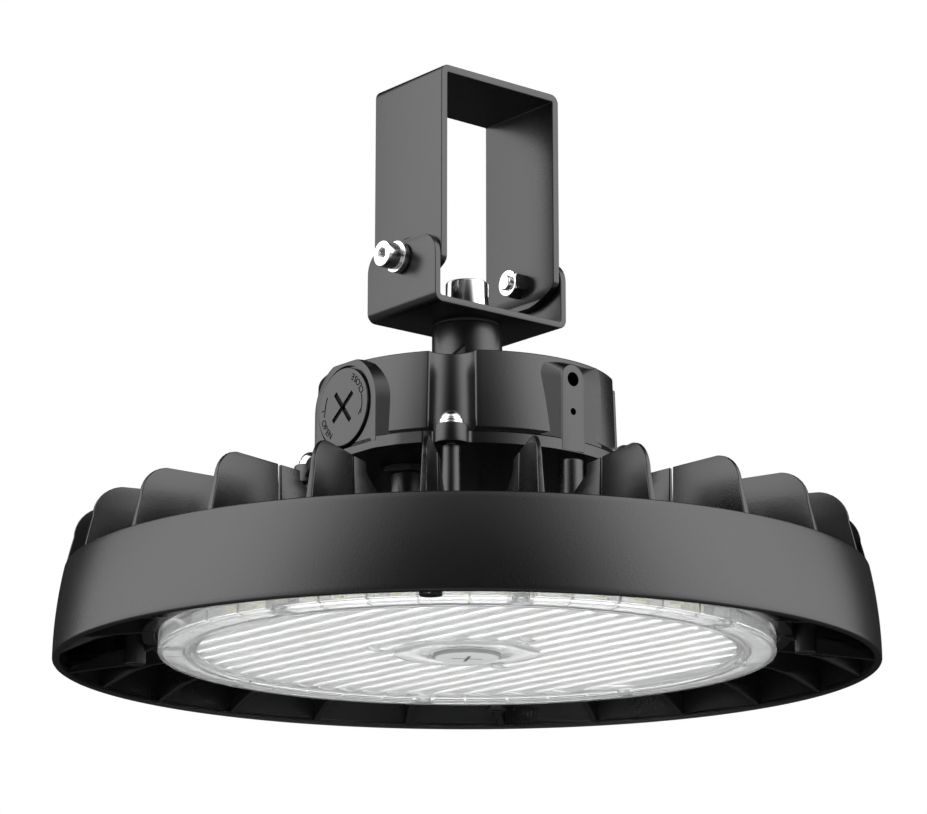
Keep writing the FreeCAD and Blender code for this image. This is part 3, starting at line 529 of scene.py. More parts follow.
def slice_at(z, start, end, inset=0.0):
    half = fin_thickness(z) / 2 - inset
    corner = min(0.55, half * 0.7)
    return [(x, y, z) for x, y in rectangle(start + inset, end - inset, -half, half, corner)]


def fin_end(z):
    """Outer end of a fin of the shroud at height z."""
    if z <= CORNER_LOW:
        return shell(z) - 0.4
    reach = sqrt(max(0.0, FIN_CORNER ** 2 - (z - CORNER_LOW) ** 2))
    return shell(CORNER_LOW) - 0.4 - FIN_CORNER + reach


def shroud_fin(name, foot):
    heights = [COLLAR_LOW + (CORNER_LOW - COLLAR_LOW) * k / 12 for k in range(13)]
    heights += [CORNER_LOW + FIN_CORNER * sin(radians(a)) for a in (10, 20, 30, 40, 50, 60, 70, 78)]
    slices = [slice_at(z, start, end) for z, start, end in foot]
    slices += [slice_at(z, COLLAR if z < PLATE_TOP else SLOT_OUT, fin_end(z)) for z in heights]
    slices.append(slice_at(FIN_TOP - 0.05, SLOT_OUT, fin_end(FIN_TOP - 0.12), 0.12))
    slices.append(slice_at(FIN_TOP, SLOT_OUT, fin_end(FIN_TOP), 0.4))
    return stack(name, slices, cast_black)


plain_foot = [(0.6, 199.6, 200.5), (3.4, 194, 200.4), (6.6, 187, 200.2), (9.6, 180.1, 200.1), (11.9, 171, 200)]
post_foot = [(0.6, 199.6, 200.5), (2.6, 184, 200.4), (4.9, 165, 200.3), (9, 164.6, 200.1)]
shown(ringed(shroud_fin("shroud_fins", plain_foot), 24))
shown(ringed(shroud_fin("shroud_post_fins", post_foot), 4, first=45))

# %% [markdown]
# Heat sink
#
# The second casting is a round plate that carries the lens below and the driver housing above. Its 24
# inner fins start at the slot, stay high for 14 mm and then fall away towards the hub, which leaves room
# for air under the housing. Four slim posts carry the housing's lugs, four shorter ones stand between,
# and all eight are LUG_REACH from the axis.

# %% Heat sink
LUG_REACH = 78.0

plate_corners = [(0, 15.5, 0), (152, 15.5, 0.6), (152, PLATE_TOP, 0.6), (0, PLATE_TOP, 0)]
shown(lathe("heat_sink_plate", rounded(plate_corners), cast_black, 192), stands_for=["heat_sink"])
shown(lathe("heat_sink_hub", pin(24, 19, 40.5, 1.0), cast_black, 64))
inner_ends = [(19, 23), (40.2, 23), (43.2, 54), (46, 86), (52, 98), (58, 110), (64, 122.2), (69, 132.4),
              (69.6, 133), (FIN_TOP - 0.4, 133)]
slices = [slice_at(z, start, SLOT_IN) for z, start in inner_ends]
slices.append(slice_at(FIN_TOP, 133, SLOT_IN, 0.4))
shown(ringed(stack("heat_sink_fins", slices, cast_black), 24))
posts = ringed(lathe("housing_posts_cast", pin(4.6, 19, 93.1), cast_black, 32), 4, LUG_REACH, first=45)
shown(posts, stands_for=["housing_posts"])
side_posts = ringed(lathe("side_posts_cast", pin(5.8, 19, 90, 0.8), cast_black, 40), 4, LUG_REACH)
shown(side_posts, stands_for=["side_posts"])
shown(lathe("wire_turret_cast", pin(13, 19, 80, 1.2), cast_black, 64, at=(-38, 0)), stands_for=["wire_turret"])

# %% [markdown]
# Driver housing
#
# The housing is a cast cup with four scallops that let a screwdriver down to the lugs. Its plan is a
# circle with four round bites, so the whole wall is one stack of that plan, slightly smaller at the top
# because of the die's draft. The band below is a second plan, which bulges into the four lugs and runs
# out flat under the cap port. Where the panel turns into a scallop the edge is rounded by 1.5 mm, and
# that shows as a pale upright line beside each screw.

# %% Housing plans
BAND = 77.0
LUG = 8.4


def arc(radius, first, last, steps, middle=(0, 0)):
    """Points (x, y, 0) on an arc, from one angle to another in degrees."""
    made = []
    for k in range(steps + 1):
        a = radians(first + (last - first) * k / steps)
        made.append((middle[0] + radius * cos(a), middle[1] + radius * sin(a), 0))
    return made


def meeting(radius, bite):
    """Angle between a lug's middle and the point where a circle of radius bite meets the plan's circle."""
    cosine = (radius ** 2 + LUG_REACH ** 2 - bite ** 2) / (2 * radius * LUG_REACH)
    return degrees(acos(cosine))


def lug_corners(at, radius, spread, easing):
    """A lug's middle, the two corners where its circle meets the plan's, and their angles round the lug."""
    a, half = radians(at), radians(spread)
    middle = (LUG_REACH * cos(a), LUG_REACH * sin(a))
    pair = [(radius * cos(a + side * half), radius * sin(a + side * half), easing) for side in (-1, 1)]
    return middle, pair, [degrees(atan2(y - middle[1], x - middle[0])) for x, y, _ in pair]


def panel_plan(radius, lip=1.5, bite=12.0):
    """Circle with a round bite at each lug, lips rounded."""
    corners = []
    spread = meeting(radius, bite)
    keep = degrees(2.2 * lip / radius)
    trim = degrees(2.2 * lip / bite)
    for at in (45, 135, 225, 315):
        middle, pair, (start, end) = lug_corners(at, radius, spread, lip)
        sweep = (start - end) % 360
        corners += [pair[0]] + arc(bite, start - trim, start - sweep + trim, 14, middle) + [pair[1]]
        corners += arc(radius, at + spread + keep, at + 90 - spread - keep, 22)
    return rounded(corners, 5)


def level(plan, z, shrink=0.0):
    """The plan lifted to height z, each point moved inward by shrink."""
    count = len(plan)
    made = []
    for k, (x, y) in enumerate(plan):
        before = plan[k - 1]
        after = plan[(k + 1) % count]
        side = Vector((after[1] - before[1], before[0] - after[0])).normalized()
        made.append((x - side.x * shrink, y - side.y * shrink, z))
    return made


def band_plan():
    """Circle that bulges into four lugs and runs out flat under the port at -X and its twin at +X."""
    fillet = 3.0
    run_out = [(65.5, -46.5, 2), (72.2, -35.5, 24), (76.4, -23, 12),
               (76.4, 23, 12), (72.2, 35.5, 24), (65.5, 46.5, 2)]
    spread = meeting(BAND, LUG)
    keep = degrees(1.35 * fillet / BAND)
    trim = degrees(1.5 * fillet / LUG)
    corners = []
    for at in (45, 135, 225, 315):
        middle, pair, (start, end) = lug_corners(at, BAND, spread, fillet)
        sweep = (end - start) % 360
        corners += [pair[0]] + arc(LUG, start + trim, start + sweep - trim, 16, middle) + [pair[1]]
        if at in (135, 315):
            side = -1 if at == 135 else 1
            corners += [(side * x, side * y, r) for x, y, r in run_out]
        else:
            corners += arc(BAND, at + spread + keep, at + 90 - spread - keep, 24)
    return rounded(corners, 5)


band = band_plan()
band_layers = [level(band, 94.5, 0.5), level(band, 95.0), level(band, 100.3), level(band, 100.8, 0.5)]
print("plans of", len(panel_plan(75.0)), "and", len(band), "points")

# %% [markdown]
# Bosses on the housing
#
# The cap port stands proud of the panel on a boss with a round top, and the cable hole has a narrow boss
# of its own. Both taper as they leave the panel. Each is a stack of arches, and then one cut with a
# plain cylinder makes the port's recess or the cable's hole through every piece it meets.

# %% Housing
PORT_HEIGHT = 119.1
CABLE_HEIGHT = 130.7


def arch(half, crown, bottom):
    """Outline (across, up, 0) with straight sides and a round top."""
    return [(half, bottom, 0), (-half, bottom, 0)] + arc(half, 180, 0, 60, (0, crown))


def arch_boss(name, half, crown, face, draft, depth, bottom, top, edge):
    """Boss towards +X. Its front edge is rounded by edge and its sides widen with depth."""
    layers = []
    for back, grow in ((0, -edge), (0.3 * edge, -0.3 * edge), (edge, 0), (depth, draft * depth)):
        points = arch(half + grow, crown, bottom)
        layers.append([(face - back, across, min(up, top)) for across, up, _ in points])
    return stack(name, layers, cast_black)


def moved(piece, turn, shift):
    """Turn a piece's mesh and then shift it, so that its object stays at the origin."""
    piece.data.transform(Matrix.Translation(Vector(shift) * MM) @ turn)
    return piece


def turned_piece(piece, angle, shift=(0, 0, 0)):
    return moved(piece, Matrix.Rotation(radians(angle), 4, "Z"), shift)


def cylinder_x(radius, x0, x1, z, steps):
    """Round cutting tool along X."""
    turns = [tau * k / steps for k in range(steps)]
    ends = [[(x, radius * cos(a), z + radius * sin(a)) for a in turns] for x in (x0, x1)]
    return stack("tool", ends, cast_black)


def port_tool():
    return cylinder_x(20.6, -90, -74.6, PORT_HEIGHT, 96)


def cable_tools():
    tools = []
    for radius, z in ((3.5, CABLE_HEIGHT), (1.75, 114.7)):
        tools.append(turned_piece(cylinder_x(radius, 65, 90, z, 40), -90, (2.4, 0, 0)))
    return tools


bottom_plan = panel_plan(75.2)
top_plan = panel_plan(74.0)
panel_layers = [level(bottom_plan, 103.4), level(top_plan, 140.4), level(top_plan, 140.95, 0.18),
                level(top_plan, 141.25, 0.5), level(top_plan, 141.35, 0.95)]
panel = stack("housing_panel", panel_layers, cast_black)
slope_outline = [(62, 99.5), (BAND, 100.7), (74.2, 101.9), (75.2, 103.6), (62, 103.5)]
slope = lathe("housing_slope", slope_outline, cast_black, 192)
bites = [lathe("tool", [(0, 102), (12, 102), (12, 110), (0, 110)], cast_black, 48, at=(a[0], a[1]))
         for a in arc(LUG_REACH, 45, 315, 3)]
carved(slope, bites)
band_piece = stack("housing_band", band_layers, cast_black)
west_port = turned_piece(arch_boss("port_boss", 24.2, PORT_HEIGHT, 76.4, 0.43, 16, 98.5, 141.3, 0.5), 180)
east_port = arch_boss("blank_boss", 24.2, PORT_HEIGHT, 76.4, 0.43, 16, 98.5, 141.3, 0.5)
cable_boss = arch_boss("cable_boss", 7.2, CABLE_HEIGHT, 77.1, 2.4, 7, 95.5, 141.2, 0.6)
turned_piece(cable_boss, -90, (2.4, 0, 0))
carved(panel, [port_tool()] + cable_tools())
carved(west_port, [port_tool()])
carved(band_piece, [port_tool()])
carved(cable_boss, cable_tools())
shown(panel, stands_for=["driver_housing"])
for piece in (slope, band_piece, west_port, east_port, cable_boss):
    shown(piece)
shown(ringed(lathe("housing_lugs", pin(LUG, 93.6, 103, 0.6), cast_black, 48), 4, LUG_REACH, first=45))
neck_corners = [(0, 139, 0), (20.6, 141.3, 2.9), (17.6, 144, 0), (17.6, 172, 0.8), (0, 172, 0)]
shown(lathe("housing_neck", rounded(neck_corners), cast_black, 96))

# %% [markdown]
# Gussets
#
# Four thin ribs run from the neck to the roof's edge over the lugs. Each one is a triangle that is
# highest at the neck. It is stacked along its length, and its top edge is rounded.

# %% Gussets
GUSSET_LOW = 140.5
GUSSET_HALF = 1.2


def rib_slice(x, high):
    """Upright section of a rib at x, up to this height."""
    corners = [(-GUSSET_HALF, GUSSET_LOW, 0), (GUSSET_HALF, GUSSET_LOW, 0),
               (GUSSET_HALF, high, 0.8), (-GUSSET_HALF, high, 0.8)]
    return [(x, y, z) for y, z in rounded(corners)]


rib = stack("gussets", [rib_slice(15.6, 159.75), rib_slice(40, 150.85), rib_slice(64, 142.15)], cast_black)
shown(ringed(rib, 4, first=45))

# %% [markdown]
# Bent strips
#
# The cradle and the upper bracket are steel strips, cut flat with rounded ends and then folded in a
# press. The mesh is made the same way round: a flat strip is a row of cross-sections, each a rounded
# rectangle, and every section is carried along the folded path. The fold stays smooth, and the eased
# edges run round it without a break.

# %% Cradle and bracket
CRADLE_SIDE = 42.35


def folded_path(outer, sheet, bend, floor_height, leg_end, ends):
    """Stations (x, z, normal, half width) along a U, from one leg's end to the other's."""
    way = 1 if leg_end > floor_height else -1
    radius = bend - sheet / 2
    line = outer - sheet / 2
    base = floor_height + way * sheet / 2
    half_width = ends[-1][1]
    half = []
    for drop, width in ends:
        half.append((-line, leg_end - way * drop, 0.0, width))
    for k in range(9):
        a = radians(90 * k / 8)
        x = -line + radius - radius * cos(a)
        half.append((x, base + way * (radius - radius * sin(a)), a, half_width))
    other = [(-x, z, pi - a, w) for x, z, a, w in reversed(half)]
    return half + other, way


def folded_strip(name, outer, sheet, bend, floor_height, leg_end, ends, finish):
    stations, way = folded_path(outer, sheet, bend, floor_height, leg_end, ends)
    layers = []
    ease = 0.45
    for i, (x, z, a, width) in enumerate(stations):
        inset = ease if i in (0, len(stations) - 1) else 0.0
        out_x, out_z = -cos(a), -way * sin(a)
        ring = rectangle(inset - width, width - inset, inset - sheet / 2, sheet / 2 - inset, ease)
        layers.append([(x + out_x * t, y, z + out_z * t) for y, t in ring])
    return stack(name, layers, finish)


def leg_corner(half, corner, steps=8):
    """Pairs (distance from the leg's end, half width) for a straight end with round corners."""
    made = [(0.0, half - corner)]
    for k in range(1, steps + 1):
        a = radians(90 * k / steps)
        made.append((corner * (1 - cos(a)) if k < steps else corner, half - corner + corner * sin(a)))
    made.insert(1, (0.05, half - corner + 0.9))
    return sorted(made)


def bowed_end(half, bow, corner, steps=10):
    """The same pairs for an end cut to an arc, with its two corners rounded."""
    outline = [(0.0, 0.0, 0)]
    rise = bow - sqrt(bow ** 2 - half ** 2)
    reach = asin(half / bow)
    for k in range(1, steps):
        a = reach * 0.82 * k / (steps - 1)
        outline.append((bow * (1 - cos(a)), bow * sin(a), 0))
    outline += [(rise, half, corner), (rise + 4 * corner, half, 0)]
    return [pair for pair in rounded(outline, 6) if pair[1] > 0][1:]


cradle = folded_strip("cradle_strip", CRADLE_SIDE, 3.5, 4.8, 173.3, 209.5, leg_corner(27.05, 11.5), sheet_black)
shown(cradle, "cradle", ["cradle"])
bracket = folded_strip("bracket_strip", 38.35, 4.0, 4.6, 296.5, 186.8, bowed_end(26.6, 45.9, 5.0), sheet_black)
shown(bracket, "bracket", ["upper_bracket"])

# %% [markdown]
# Lens
#
# The cover is one clear moulding: a shallow tray with a flat rim, and inside it a field of round ribs
# that run across the light. The rib section is a row of arcs 12.85 mm wide that meet in sharp valleys.
# The field is stacked sideways from thin slices, because a slice's ends can then follow the circle.

# %% Lens
RIB_PITCH = 12.85
FIELD = 131.6
LENS_SCREWS = 144
LENS_FIRST = 15


def rib_low(x):
    """Underside of the ribs at x: arcs with their crests at 7.2 mm."""
    off = (x / RIB_PITCH + 0.5) % 1.0 - 0.5
    chord, rise = RIB_PITCH / 2, 1.5
    radius = (chord ** 2 + rise ** 2) / (2 * rise)
    return 7.2 + radius - sqrt(radius ** 2 - (off * RIB_PITCH) ** 2)


def lens_field():
    slices = []
    per_rib = 10
    count = int(FIELD / RIB_PITCH * per_rib)
    for k in range(-count, count + 1):
        x = k * RIB_PITCH / per_rib
        y = sqrt(FIELD ** 2 - x ** 2)
        slices.append([(x, -y, rib_low(x)), (x, y, rib_low(x)), (x, y, 10.2), (x, -y, 10.2)])
    field = stack("lens_field", slices, clear_lens, 50)
    return carved(field, [lathe("tool", [(0, 0), (35.8, 0), (35.8, 20), (0, 20)], clear_lens, 96)])


def lens_tray():
    corners = [(131.5, 7.0, 0.2), (134.5, 7.0, 0.3), (134.5, 5.4, 0.4), (137.1, 5.4, 0.2),
               (137.1, 6.2, 0.2), (138.5, 6.2, 0.2), (138.5, 5.4, 0.2), (150.5, 5.4, 0.8),
               (150.5, 15.5, 0.3), (148.1, 15.5, 0.3), (148.1, 7.8, 0.8), (137.9, 7.8, 0.8),
               (137.9, 15.4, 0.3), (134.5, 15.4, 0.3), (134.5, 10.2, 0.3), (131.5, 10.2, 0)]
    return lathe("lens_tray", rounded(corners, 3), clear_lens, 240)


def box(name, x0, x1, y0, y1, z0, z1, finish, edge=0.0):
    plan = rectangle(x0, x1, y0, y1, edge)
    return stack(name, [level(plan, z0), level(plan, z1)], finish)


def recesses():
    one = lathe("tool", [(0, 4), (4.1, 4), (4.1, 9.4), (0, 9.4)], clear_lens, 24)
    return [ringed(one, 8, LENS_SCREWS, first=LENS_FIRST)]


tray = carved(lens_tray(), recesses())
bosses = ringed(box("lens_bosses", 137.7, 148.3, -6, 6, 7.7, 15.4, clear_lens, 1.0), 8, first=LENS_FIRST)
carved(bosses, recesses())
web_ring = []
for k in range(1, 5):
    web = box("lens_webs_%d" % k, 137.7, 148.3, -0.6, 0.6, 7.7, 12.5, clear_lens)
    web_ring.append(ringed(web, 8, first=LENS_FIRST + 9 * k))
supports = ringed(lathe("lens_supports", pin(4.2, 10.1, 13.9), clear_lens, 32), 3, 45, first=30)
centre_corners = [(17.8, 7.2, 0.3), (36, 7.2, 0.4), (36, 10.2, 0.0), (17.8, 10.2, 0.0)]
centre = lathe("lens_centre", rounded(centre_corners, 3), clear_lens, 96)
field = lens_field()
shown(field, stands_for=["lens_cover"])
for piece in [tray, bosses, supports, centre] + web_ring:
    shown(piece)

# %% [markdown]
# Screws and washers
#
# The screws are plated and have socket or domed heads. A head is a short lathe outline, and one cut
# with a six-sided prism makes its socket. The spring washers are rings with one slit.

# %% Screw pieces
def hexagon(name, flat, low, high, finish):
    plan = [(x, y) for x, y, _ in arc(flat / sqrt(3), 0, 300, 5)]
    return stack(name, [level(plan, low), level(plan, high)], finish)


def washer(name, outer, inner, low, high, slit=0.0):
    corners = [(inner, low, 0.1), (outer, low, 0.2), (outer, high, 0.2), (inner, high, 0.1)]
    ring = lathe(name, rounded(corners, 3), bright_steel, 64)
    if slit:
        carved(ring, [box("tool", 0, outer + 2, -slit / 2, slit / 2, low - 1, high + 1, bright_steel)])
    return ring


def dome(radius, seat, height):
    """Outline of a domed head above its seat."""
    rise = 0.85 * height
    ball = (radius ** 2 + rise ** 2) / (2 * rise)
    low = seat + height - rise
    made = [(radius - 0.3, seat), (radius, seat + 0.3), (radius, low)]
    reach = asin(radius / ball)
    for k in range(1, 9):
        a = reach * (1 - k / 8)
        made.append((ball * sin(a), low + rise - ball + ball * cos(a)))
    return made


head = lathe("housing_screws", [(0, 80), (2.5, 80), (2.5, 105.7)] + dome(5.3, 105.7, 4.6), bright_steel, 48)
carved(head, [hexagon("tool", 3.0, 108, 112, bright_steel)])
shown(ringed(head, 4, LUG_REACH, first=45), "luminaire", ["housing_screws"])
plain_washer = ringed(washer("housing_plain_washers", 6.5, 2.8, 102, 104), 4, LUG_REACH, first=45)
shown(plain_washer, "luminaire", ["housing_washers"])
split = turned_piece(washer("housing_split_washers", 6.0, 2.8, 104.1, 105.5, 0.8), 110)
split = ringed(split, 4, LUG_REACH, first=45)
shown(split, "luminaire", ["housing_spring_washers"])

lens_head_corners = [(0, 6.6, 0), (3.8, 6.6, 0.9), (3.8, 9.4, 0), (0, 9.4, 0)]
lens_head = lathe("lens_screw_heads", rounded(lens_head_corners), bright_steel, 32)
carved(lens_head, [hexagon("tool", 2.5, 5, 8.2, bright_steel)])
shown(ringed(lens_head, 8, LENS_SCREWS, first=LENS_FIRST), "luminaire", ["lens_screws"])

swivel_corners = [(0, 156, 0), (7, 156, 0.5), (7, 181.4, 0), (10.8, 181.4, 0.4),
                  (10.8, 195.4, 0.9), (9.2, 195.4, 0), (0, 195.4, 0)]
swivel = lathe("swivel_head", rounded(swivel_corners), bright_steel, 96)
carved(swivel, [hexagon("tool", 12, 187.4, 200, bright_steel)])
shown(swivel, "luminaire", ["swivel_bolt"])

# %% [markdown]
# Pivots
#
# A bolt, a plain washer and a spring washer sit outside each leg of the cradle, and a nut sits inside
# the bracket. They are made standing on Z, laid over to face +X, and the ring recipe with a count of
# two then makes the pair, because half a turn about Z takes one side of the yoke to the other.

# %% Pivot pieces
PIVOT = 200.9
PLAIN, SPLIT = 0.9, 2.9
BRACKET_INSIDE = 34.35
NUT = 8


def laid_over(piece, x):
    """Turn a piece from +Z to +X, with its z = 0 plane at this x, at the pivots' height."""
    return moved(piece, Matrix.Rotation(radians(90), 4, "Y"), (x, 0, PIVOT))


def pivot_pair(piece, x, stands_for):
    return shown(ringed(laid_over(piece, x), 2), "cradle", stands_for)


seat = CRADLE_SIDE + PLAIN + SPLIT
outline = [(0, -22.1, 0), (4, -22.1, 0.7), (4, 0, 0), (6.65, 0, 0.3), (6.65, 8.4, 0.7), (5.4, 8.4, 0), (0, 8.4, 0)]
bolt = lathe("pivot_bolts_turned", rounded(outline), bright_steel, 64)
carved(bolt, [hexagon("tool", 6, 4.4, 10, bright_steel)])
pivot_pair(bolt, seat, ["pivot_bolts"])
pivot_pair(washer("pivot_plain_washers", 6.6, 4.1, 0, PLAIN), CRADLE_SIDE, ["pivot_washers"])
ring = washer("pivot_split_washers", 8.0, 4.1, 0, SPLIT, 1.2)
pivot_pair(turned_piece(ring, -50), CRADLE_SIDE + PLAIN, ["pivot_spring_washers"])
nut = hexagon("pivot_nuts_cut", 13, 0, NUT, bright_steel)
barrel = rounded([(0, 0, 0), (6.6, 0, 0.4), (7.6, 1.0, 0.3), (7.6, 7.0, 0.3), (6.6, NUT, 0.4), (0, NUT, 0)])
carved(nut, [lathe("tool", barrel, bright_steel, 64)], "INTERSECT")
carved(nut, [lathe("tool", [(0, -1), (4.02, -1), (4.02, 9), (0, 9)], bright_steel, 48)])
pivot_pair(nut, BRACKET_INSIDE - NUT, ["pivot_nuts"])

# %% [markdown]
# Port cap
#
# The cap is a black moulded disc with a cross for a coin or a blade. Its face carries the words OPEN
# and CLOSE, one on each side, and a curved arrow for each way of turning. The letters are real text
# curves, set round the cap with their feet outward and turned into meshes. They and the arrows stand a
# tenth of a millimetre proud of the face. Near-black bars fill the cross almost to the face: they are
# painted shade for the cross's deep slots, and they share the letters' print finish.

# %% Port cap
CAP_FACE = 77.6
CAP_TURN = -7


def cross_tool(length, width, low, high, finish, turn=0):
    arms = []
    for angle in (45 + turn, turn - 45):
        arm = box("tool", -length / 2, length / 2, -width / 2, width / 2, low, high, finish, 0.3)
        arms.append(turned_piece(arm, angle))
    return arms


def word(text, radius, first, step, height):
    """Letters round a circle, read counterclockwise with their feet outward, as meshes at z = 0."""
    letters = []
    for k, letter in enumerate(text):
        curve = bpy.data.curves.new("letter", "FONT")
        curve.body = letter
        curve.size = height * MM
        curve.offset = 0.03 * MM
        curve.extrude = 0.1 * MM
        curve.align_x = "CENTER"
        curve.resolution_u = 3
        holder = in_scene("letter", curve)
        mesh = plain_mesh(holder)
        bpy.data.objects.remove(holder)
        a = radians(first + step * k)
        place = Matrix.Translation(Vector((radius * cos(a), radius * sin(a), 0)) * MM)
        mesh.transform(place @ Matrix.Rotation(a + pi / 2, 4, "Z"))
        letters.append(mesh)
    return letters


def stroke(points, width):
    """Flat bar along a path in the XY plane."""
    sides = ([], [])
    for k, (x, y) in enumerate(points):
        before = points[max(k - 1, 0)]
        after = points[min(k + 1, len(points) - 1)]
        side = Vector((before[1] - after[1], after[0] - before[0])).normalized() * width / 2
        sides[0].append((x + side.x, y + side.y))
        sides[1].append((x - side.x, y - side.y))
    plan = sides[0] + sides[1][::-1]
    return stack("stroke", [level(plan, -0.1), level(plan, 0.1)], cap_mark)


def bow(radius, first, last):
    return [(x, y) for x, y, _ in arc(radius, first, last, 12)]


def facing_west(piece):
    """Lay a piece over so that its top faces -X at the cap's face, with its +X side towards -Y."""
    turn = Matrix(((0, 0, -1, 0), (-1, 0, 0, 0), (0, 1, 0, 0), (0, 0, 0, 1)))
    return moved(piece, turn, (-CAP_FACE, 0, PORT_HEIGHT))


def joined(name, meshes, finish):
    work = bmesh.new()
    for mesh in meshes:
        work.from_mesh(mesh)
    mesh = bpy.data.meshes.new(name)
    work.to_mesh(mesh)
    work.free()
    return dressed(name, mesh, finish)


disc_corners = [(0, -3, 0), (19.4, -3, 0.2), (19.4, 0, 0.6), (18, 0, 0), (0, 0, 0)]
disc = lathe("port_cap_disc", rounded(disc_corners), cap_black, 128)
stem = lathe("stem", [(0, -10), (16, -10), (16, -2.5), (0, -2.5)], cap_black, 64)
carved(disc, [stem], "UNION")
carved(disc, cross_tool(19.6, 2.6, -2.0, 2, cap_black))
shown(facing_west(turned_piece(disc, CAP_TURN)), "port_cap", ["port_cap"])
print_and_shade_marks = word("CLOSE", 17.2, 28, 9.6, 4.5) + word("OPEN", 17.2, 207, 10.4, 4.5)
strokes = [stroke(bow(15.2, 22, -4) + [(13.1, -4.4)], 0.5), stroke([(15.0, -1.0), (15.0, -4.0)], 0.4),
           stroke(bow(14.0, 157, 183), 0.6), stroke([(-16.4, -1.2), (-14.0, -0.9), (-14.3, -4.2)], 0.6)]
# The bars in the cross are painted shade: near-black fills that stand for the dark depth of the slots.
for bar in strokes + cross_tool(19.4, 2.5, -1.9, -0.7, cap_mark):
    print_and_shade_marks.append(bar.data)
    bpy.data.objects.remove(bar)
print_and_shade_piece = turned_piece(joined("port_cap_print_and_shade", print_and_shade_marks, cap_mark), CAP_TURN)
shown(facing_west(print_and_shade_piece), "port_cap")

# %% [markdown]
# Sensor cap
#
# A pale cap with a thin cross closes the sensor port in the middle of the lens. A narrow darker ring
# runs round it. One pale collar stands for the socket that holds the cap and for the socket's seal,
# because the photograph shows no dark seal there. Its white is painted light: it keeps the collar
# bright where it sits in the dim gap between lens and plate.

# %% Sensor cap
cap_low = rounded([(0, 4.8, 0), (14, 4.8, 0), (15.6, 4.8, 0.6), (16.3, 7.1, 0), (0, 7.1, 0)])
sensor = lathe("sensor_cap_disc", cap_low, cap_grey, 96)
carved(sensor, cross_tool(15.5, 1.7, 3, 5.7, cap_grey, 15))
# A dark grey fill in the cross, nearly flush with the face, is painted shade for the slot's depth.
sensor_cross_shade = cross_tool(15.3, 1.6, 4.82, 5.7, driver_grey, 15)
shown(carved(sensor_cross_shade[0], [sensor_cross_shade[1]], "UNION"), "sensor_cap")
edge = rounded([(16.0, 5.3, 0), (16.5, 5.3, 0.15), (17.0, 7.1, 0.15), (16.0, 7.1, 0)])
shown(lathe("sensor_cap_edge", edge, edge_grey, 96), "sensor_cap")
# The collar's white finish is painted light, which keeps it bright in the dim gap under the lens.
collar = rounded([(13.3, 7.2, 0.2), (17.6, 7.2, 0.3), (17.6, 10.5, 0),
                  (25, 10.5, 0.3), (25, 15.4, 0), (13.3, 15.4, 0)])
shown(lathe("sensor_collar", collar, white_seal, 96), stands_for=["sensor_socket", "sensor_socket_seal"])
sensor_stem = lathe("sensor_cap_stem", [(0, 7.0), (13, 7.0), (13, 13.1), (0, 13.1)], cap_grey, 64)
shown(sensor, "sensor_cap", ["sensor_cap"])
shown(sensor_stem, "sensor_cap")

# %% [markdown]
# Camera
#
# The camera comes from a fit to the photograph: 1.5 m from the axis, 26 cm below the rim and tipped up
# by 13.5 degrees. The small shift puts the picture's middle where the photograph has it.

# %% Camera
def look(azimuth, height, distance, pitch):
    a = radians(azimuth)
    eye = in_scene("camera", bpy.data.cameras.new("camera"))
    eye.location = (distance * sin(a), -distance * cos(a), height)
    eye.rotation_euler = (radians(90 + pitch), 0, a)
    bpy.context.scene.camera = eye
    return eye


camera = look(azimuth=-39.44, height=-0.2584, distance=1.5326, pitch=13.535)
camera.data.sensor_width = 36.0
camera.data.lens = 123.45
camera.data.shift_x = -0.0039
camera.data.shift_y = 0.0446
camera.data.clip_start = 0.01
print("camera at", [round(c, 3) for c in camera.location])

# %% [markdown]
# Studio
#
# A black object shows only what it reflects. The photograph looks as if it was taken between two large
# white panels, one at each side: the round shroud is nearly black where it faces the camera, brightest
# where it is turned by 35 degrees, and dimmer again towards its edges. The world has such panels for
# glossy rays, as a ramp over the angle from the camera's direction, and it is dim below the horizon. The
# panels, the light through the lens and the diffuse light were set by comparing renders with the
# photograph. They are stronger than a plain white of 1, so colours don't render here as they would in
# plain light. The background is white to the camera, and the pale floor 3 m down isn't reflected.

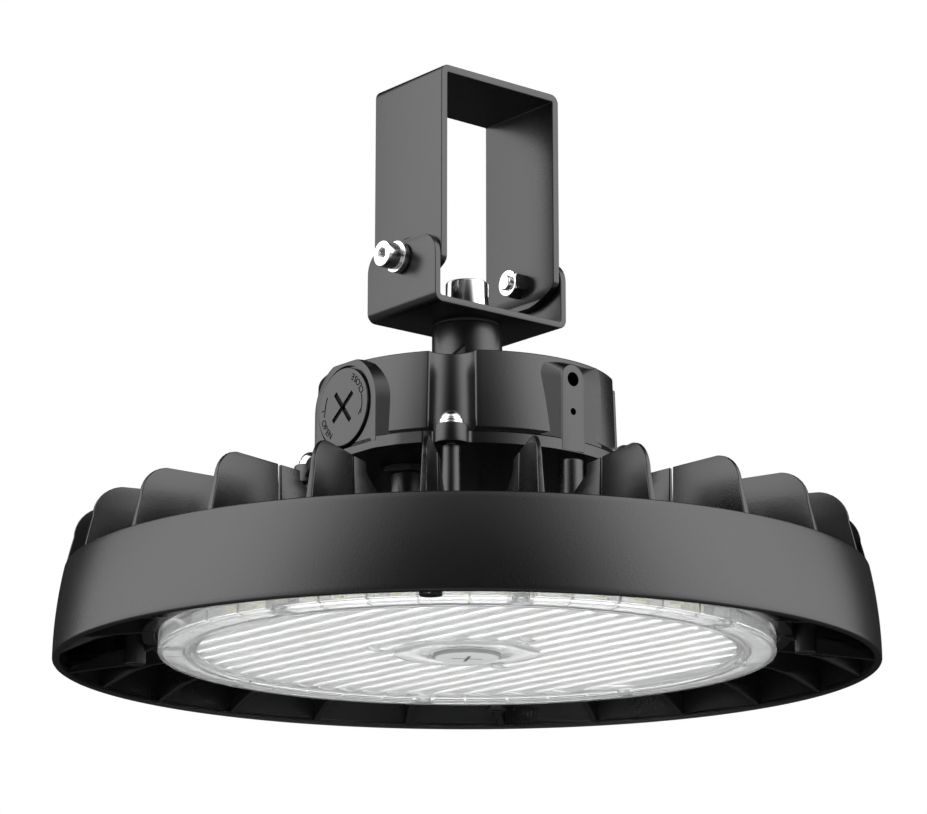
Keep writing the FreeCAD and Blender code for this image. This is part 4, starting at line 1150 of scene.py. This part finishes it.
# %% World and floor
def backdrop_world(toward):
    world = bpy.data.worlds.new("studio")
    world.use_nodes = True
    bpy.context.scene.world = world
    tree = Tree(world.node_tree)
    rays = world.node_tree.nodes.new("ShaderNodeLightPath").outputs
    seen = Wire(tree, rays["Is Camera Ray"]) + Wire(tree, rays["Is Transmission Ray"]) * THROUGH_LENS
    direction = tree.node("ShaderNodeTexCoord", output=0)
    axes = [tree.node("ShaderNodeSeparateXYZ", None, {0: direction}, output=k) for k in range(3)]
    squared = axes[0] * axes[0] + axes[1] * axes[1] + 0.0001
    across = squared.math("SQRT", squared)
    facing = (axes[0] * toward[0] + axes[1] * toward[1]) / across - 0.28 * axes[2] + 0.067
    stops = []
    for angle, share in PANELS:
        stops.append(((cos(radians(angle)) + 1) / 2, (share, share, share, 1)))
    stops.sort()
    panels = tree.node("ShaderNodeValToRGB", {"stops": stops}, {0: facing * 0.5 + 0.5})
    height = axes[2].fade(*HORIZON) * (1.0 - axes[2].fade(*CEILING))
    below = (1.0 - axes[2].fade(-0.25, 0.0)) * facing.fade(-1.0, 0.6)
    room = panels * height * PANEL_STRENGTH + below * BELOW_STRENGTH + 0.02
    strength = seen.math("MAXIMUM", seen, Wire(tree, rays["Is Glossy Ray"]) * room)
    strength = strength + Wire(tree, rays["Is Diffuse Ray"]) * DIFFUSE_STRENGTH
    tree.feed(world.node_tree.nodes["Background"].inputs["Strength"], strength)
    world.node_tree.nodes["Background"].inputs["Color"].default_value = (1, 1, 1, 1)


PANELS = [(0, 0.0), (20, 0.02), (30, 0.14), (40, 0.42), (54, 0.9), (70, 1.0), (88, 0.84), (98, 0.7), (130, 0.26),
          (134, 0.0), (180, 0.0)]
PANEL_STRENGTH = 4.2
BELOW_STRENGTH = 0.55
THROUGH_LENS = 2.4
DIFFUSE_STRENGTH = 1.15
HORIZON = (-0.08, 0.10)
CEILING = (0.75, 0.95)
bpy.context.scene.view_settings.view_transform = "Standard"
backdrop_world(camera.location.xy.normalized())

floor_finish = Finish("floor_pale")
floor_tones = ((0.86, 0.86, 0.86, 1), (0.88, 0.88, 0.88, 1))
floor_finish.drive("Base Color", floor_finish.blend(floor_finish.noise(3.0), *floor_tones))
floor_data = bpy.data.meshes.new("floor")
floor_data.from_pydata([(-30, -30, -3), (30, -30, -3), (30, 30, -3), (-30, 30, -3)], [], [(0, 1, 2, 3)])
floor_data.materials.append(floor_finish.material)
floor = in_scene("floor", floor_data)
floor.visible_glossy = False
floor.visible_diffuse = False
floor.visible_transmission = False
print("world made with", len(PANELS), "stops, floor", floor.name)

# %% [markdown]
# Finishes for the solids
#
# The real light hides its driver, terminals, wires' way and seals, and the CAD solids stand for them
# here as they are. Every solid gets the finish of its material slot, so that no bare grey shows through
# the slots between the fins. The lens gasket is white silicone and not black rubber, because the
# photograph shows a pale edge behind the clear rim.

# %% Finishes for the solids
FINISH = {
    "cast_black": cast_black,
    "sheet_black": sheet_black,
    "bright_steel": bright_steel,
    "clear_lens": clear_lens,
    "board_white": board_white,
    "chip_yellow": chip_yellow,
    "seal_rubber": seal_rubber,
    "cap_black": cap_black,
    "cap_grey": cap_grey,
    "inner_grey": inner_grey,
    "driver_grey": driver_grey,
}
for part in frame["record"]["subparts"]:
    slots = frame["nodes"][part["node"]].data.materials
    slots.clear()
    slots.append(white_seal if part["node"] == "lens_gasket" else FINISH[part["material_slot"]])
print("solids finished", len(frame["nodes"]))
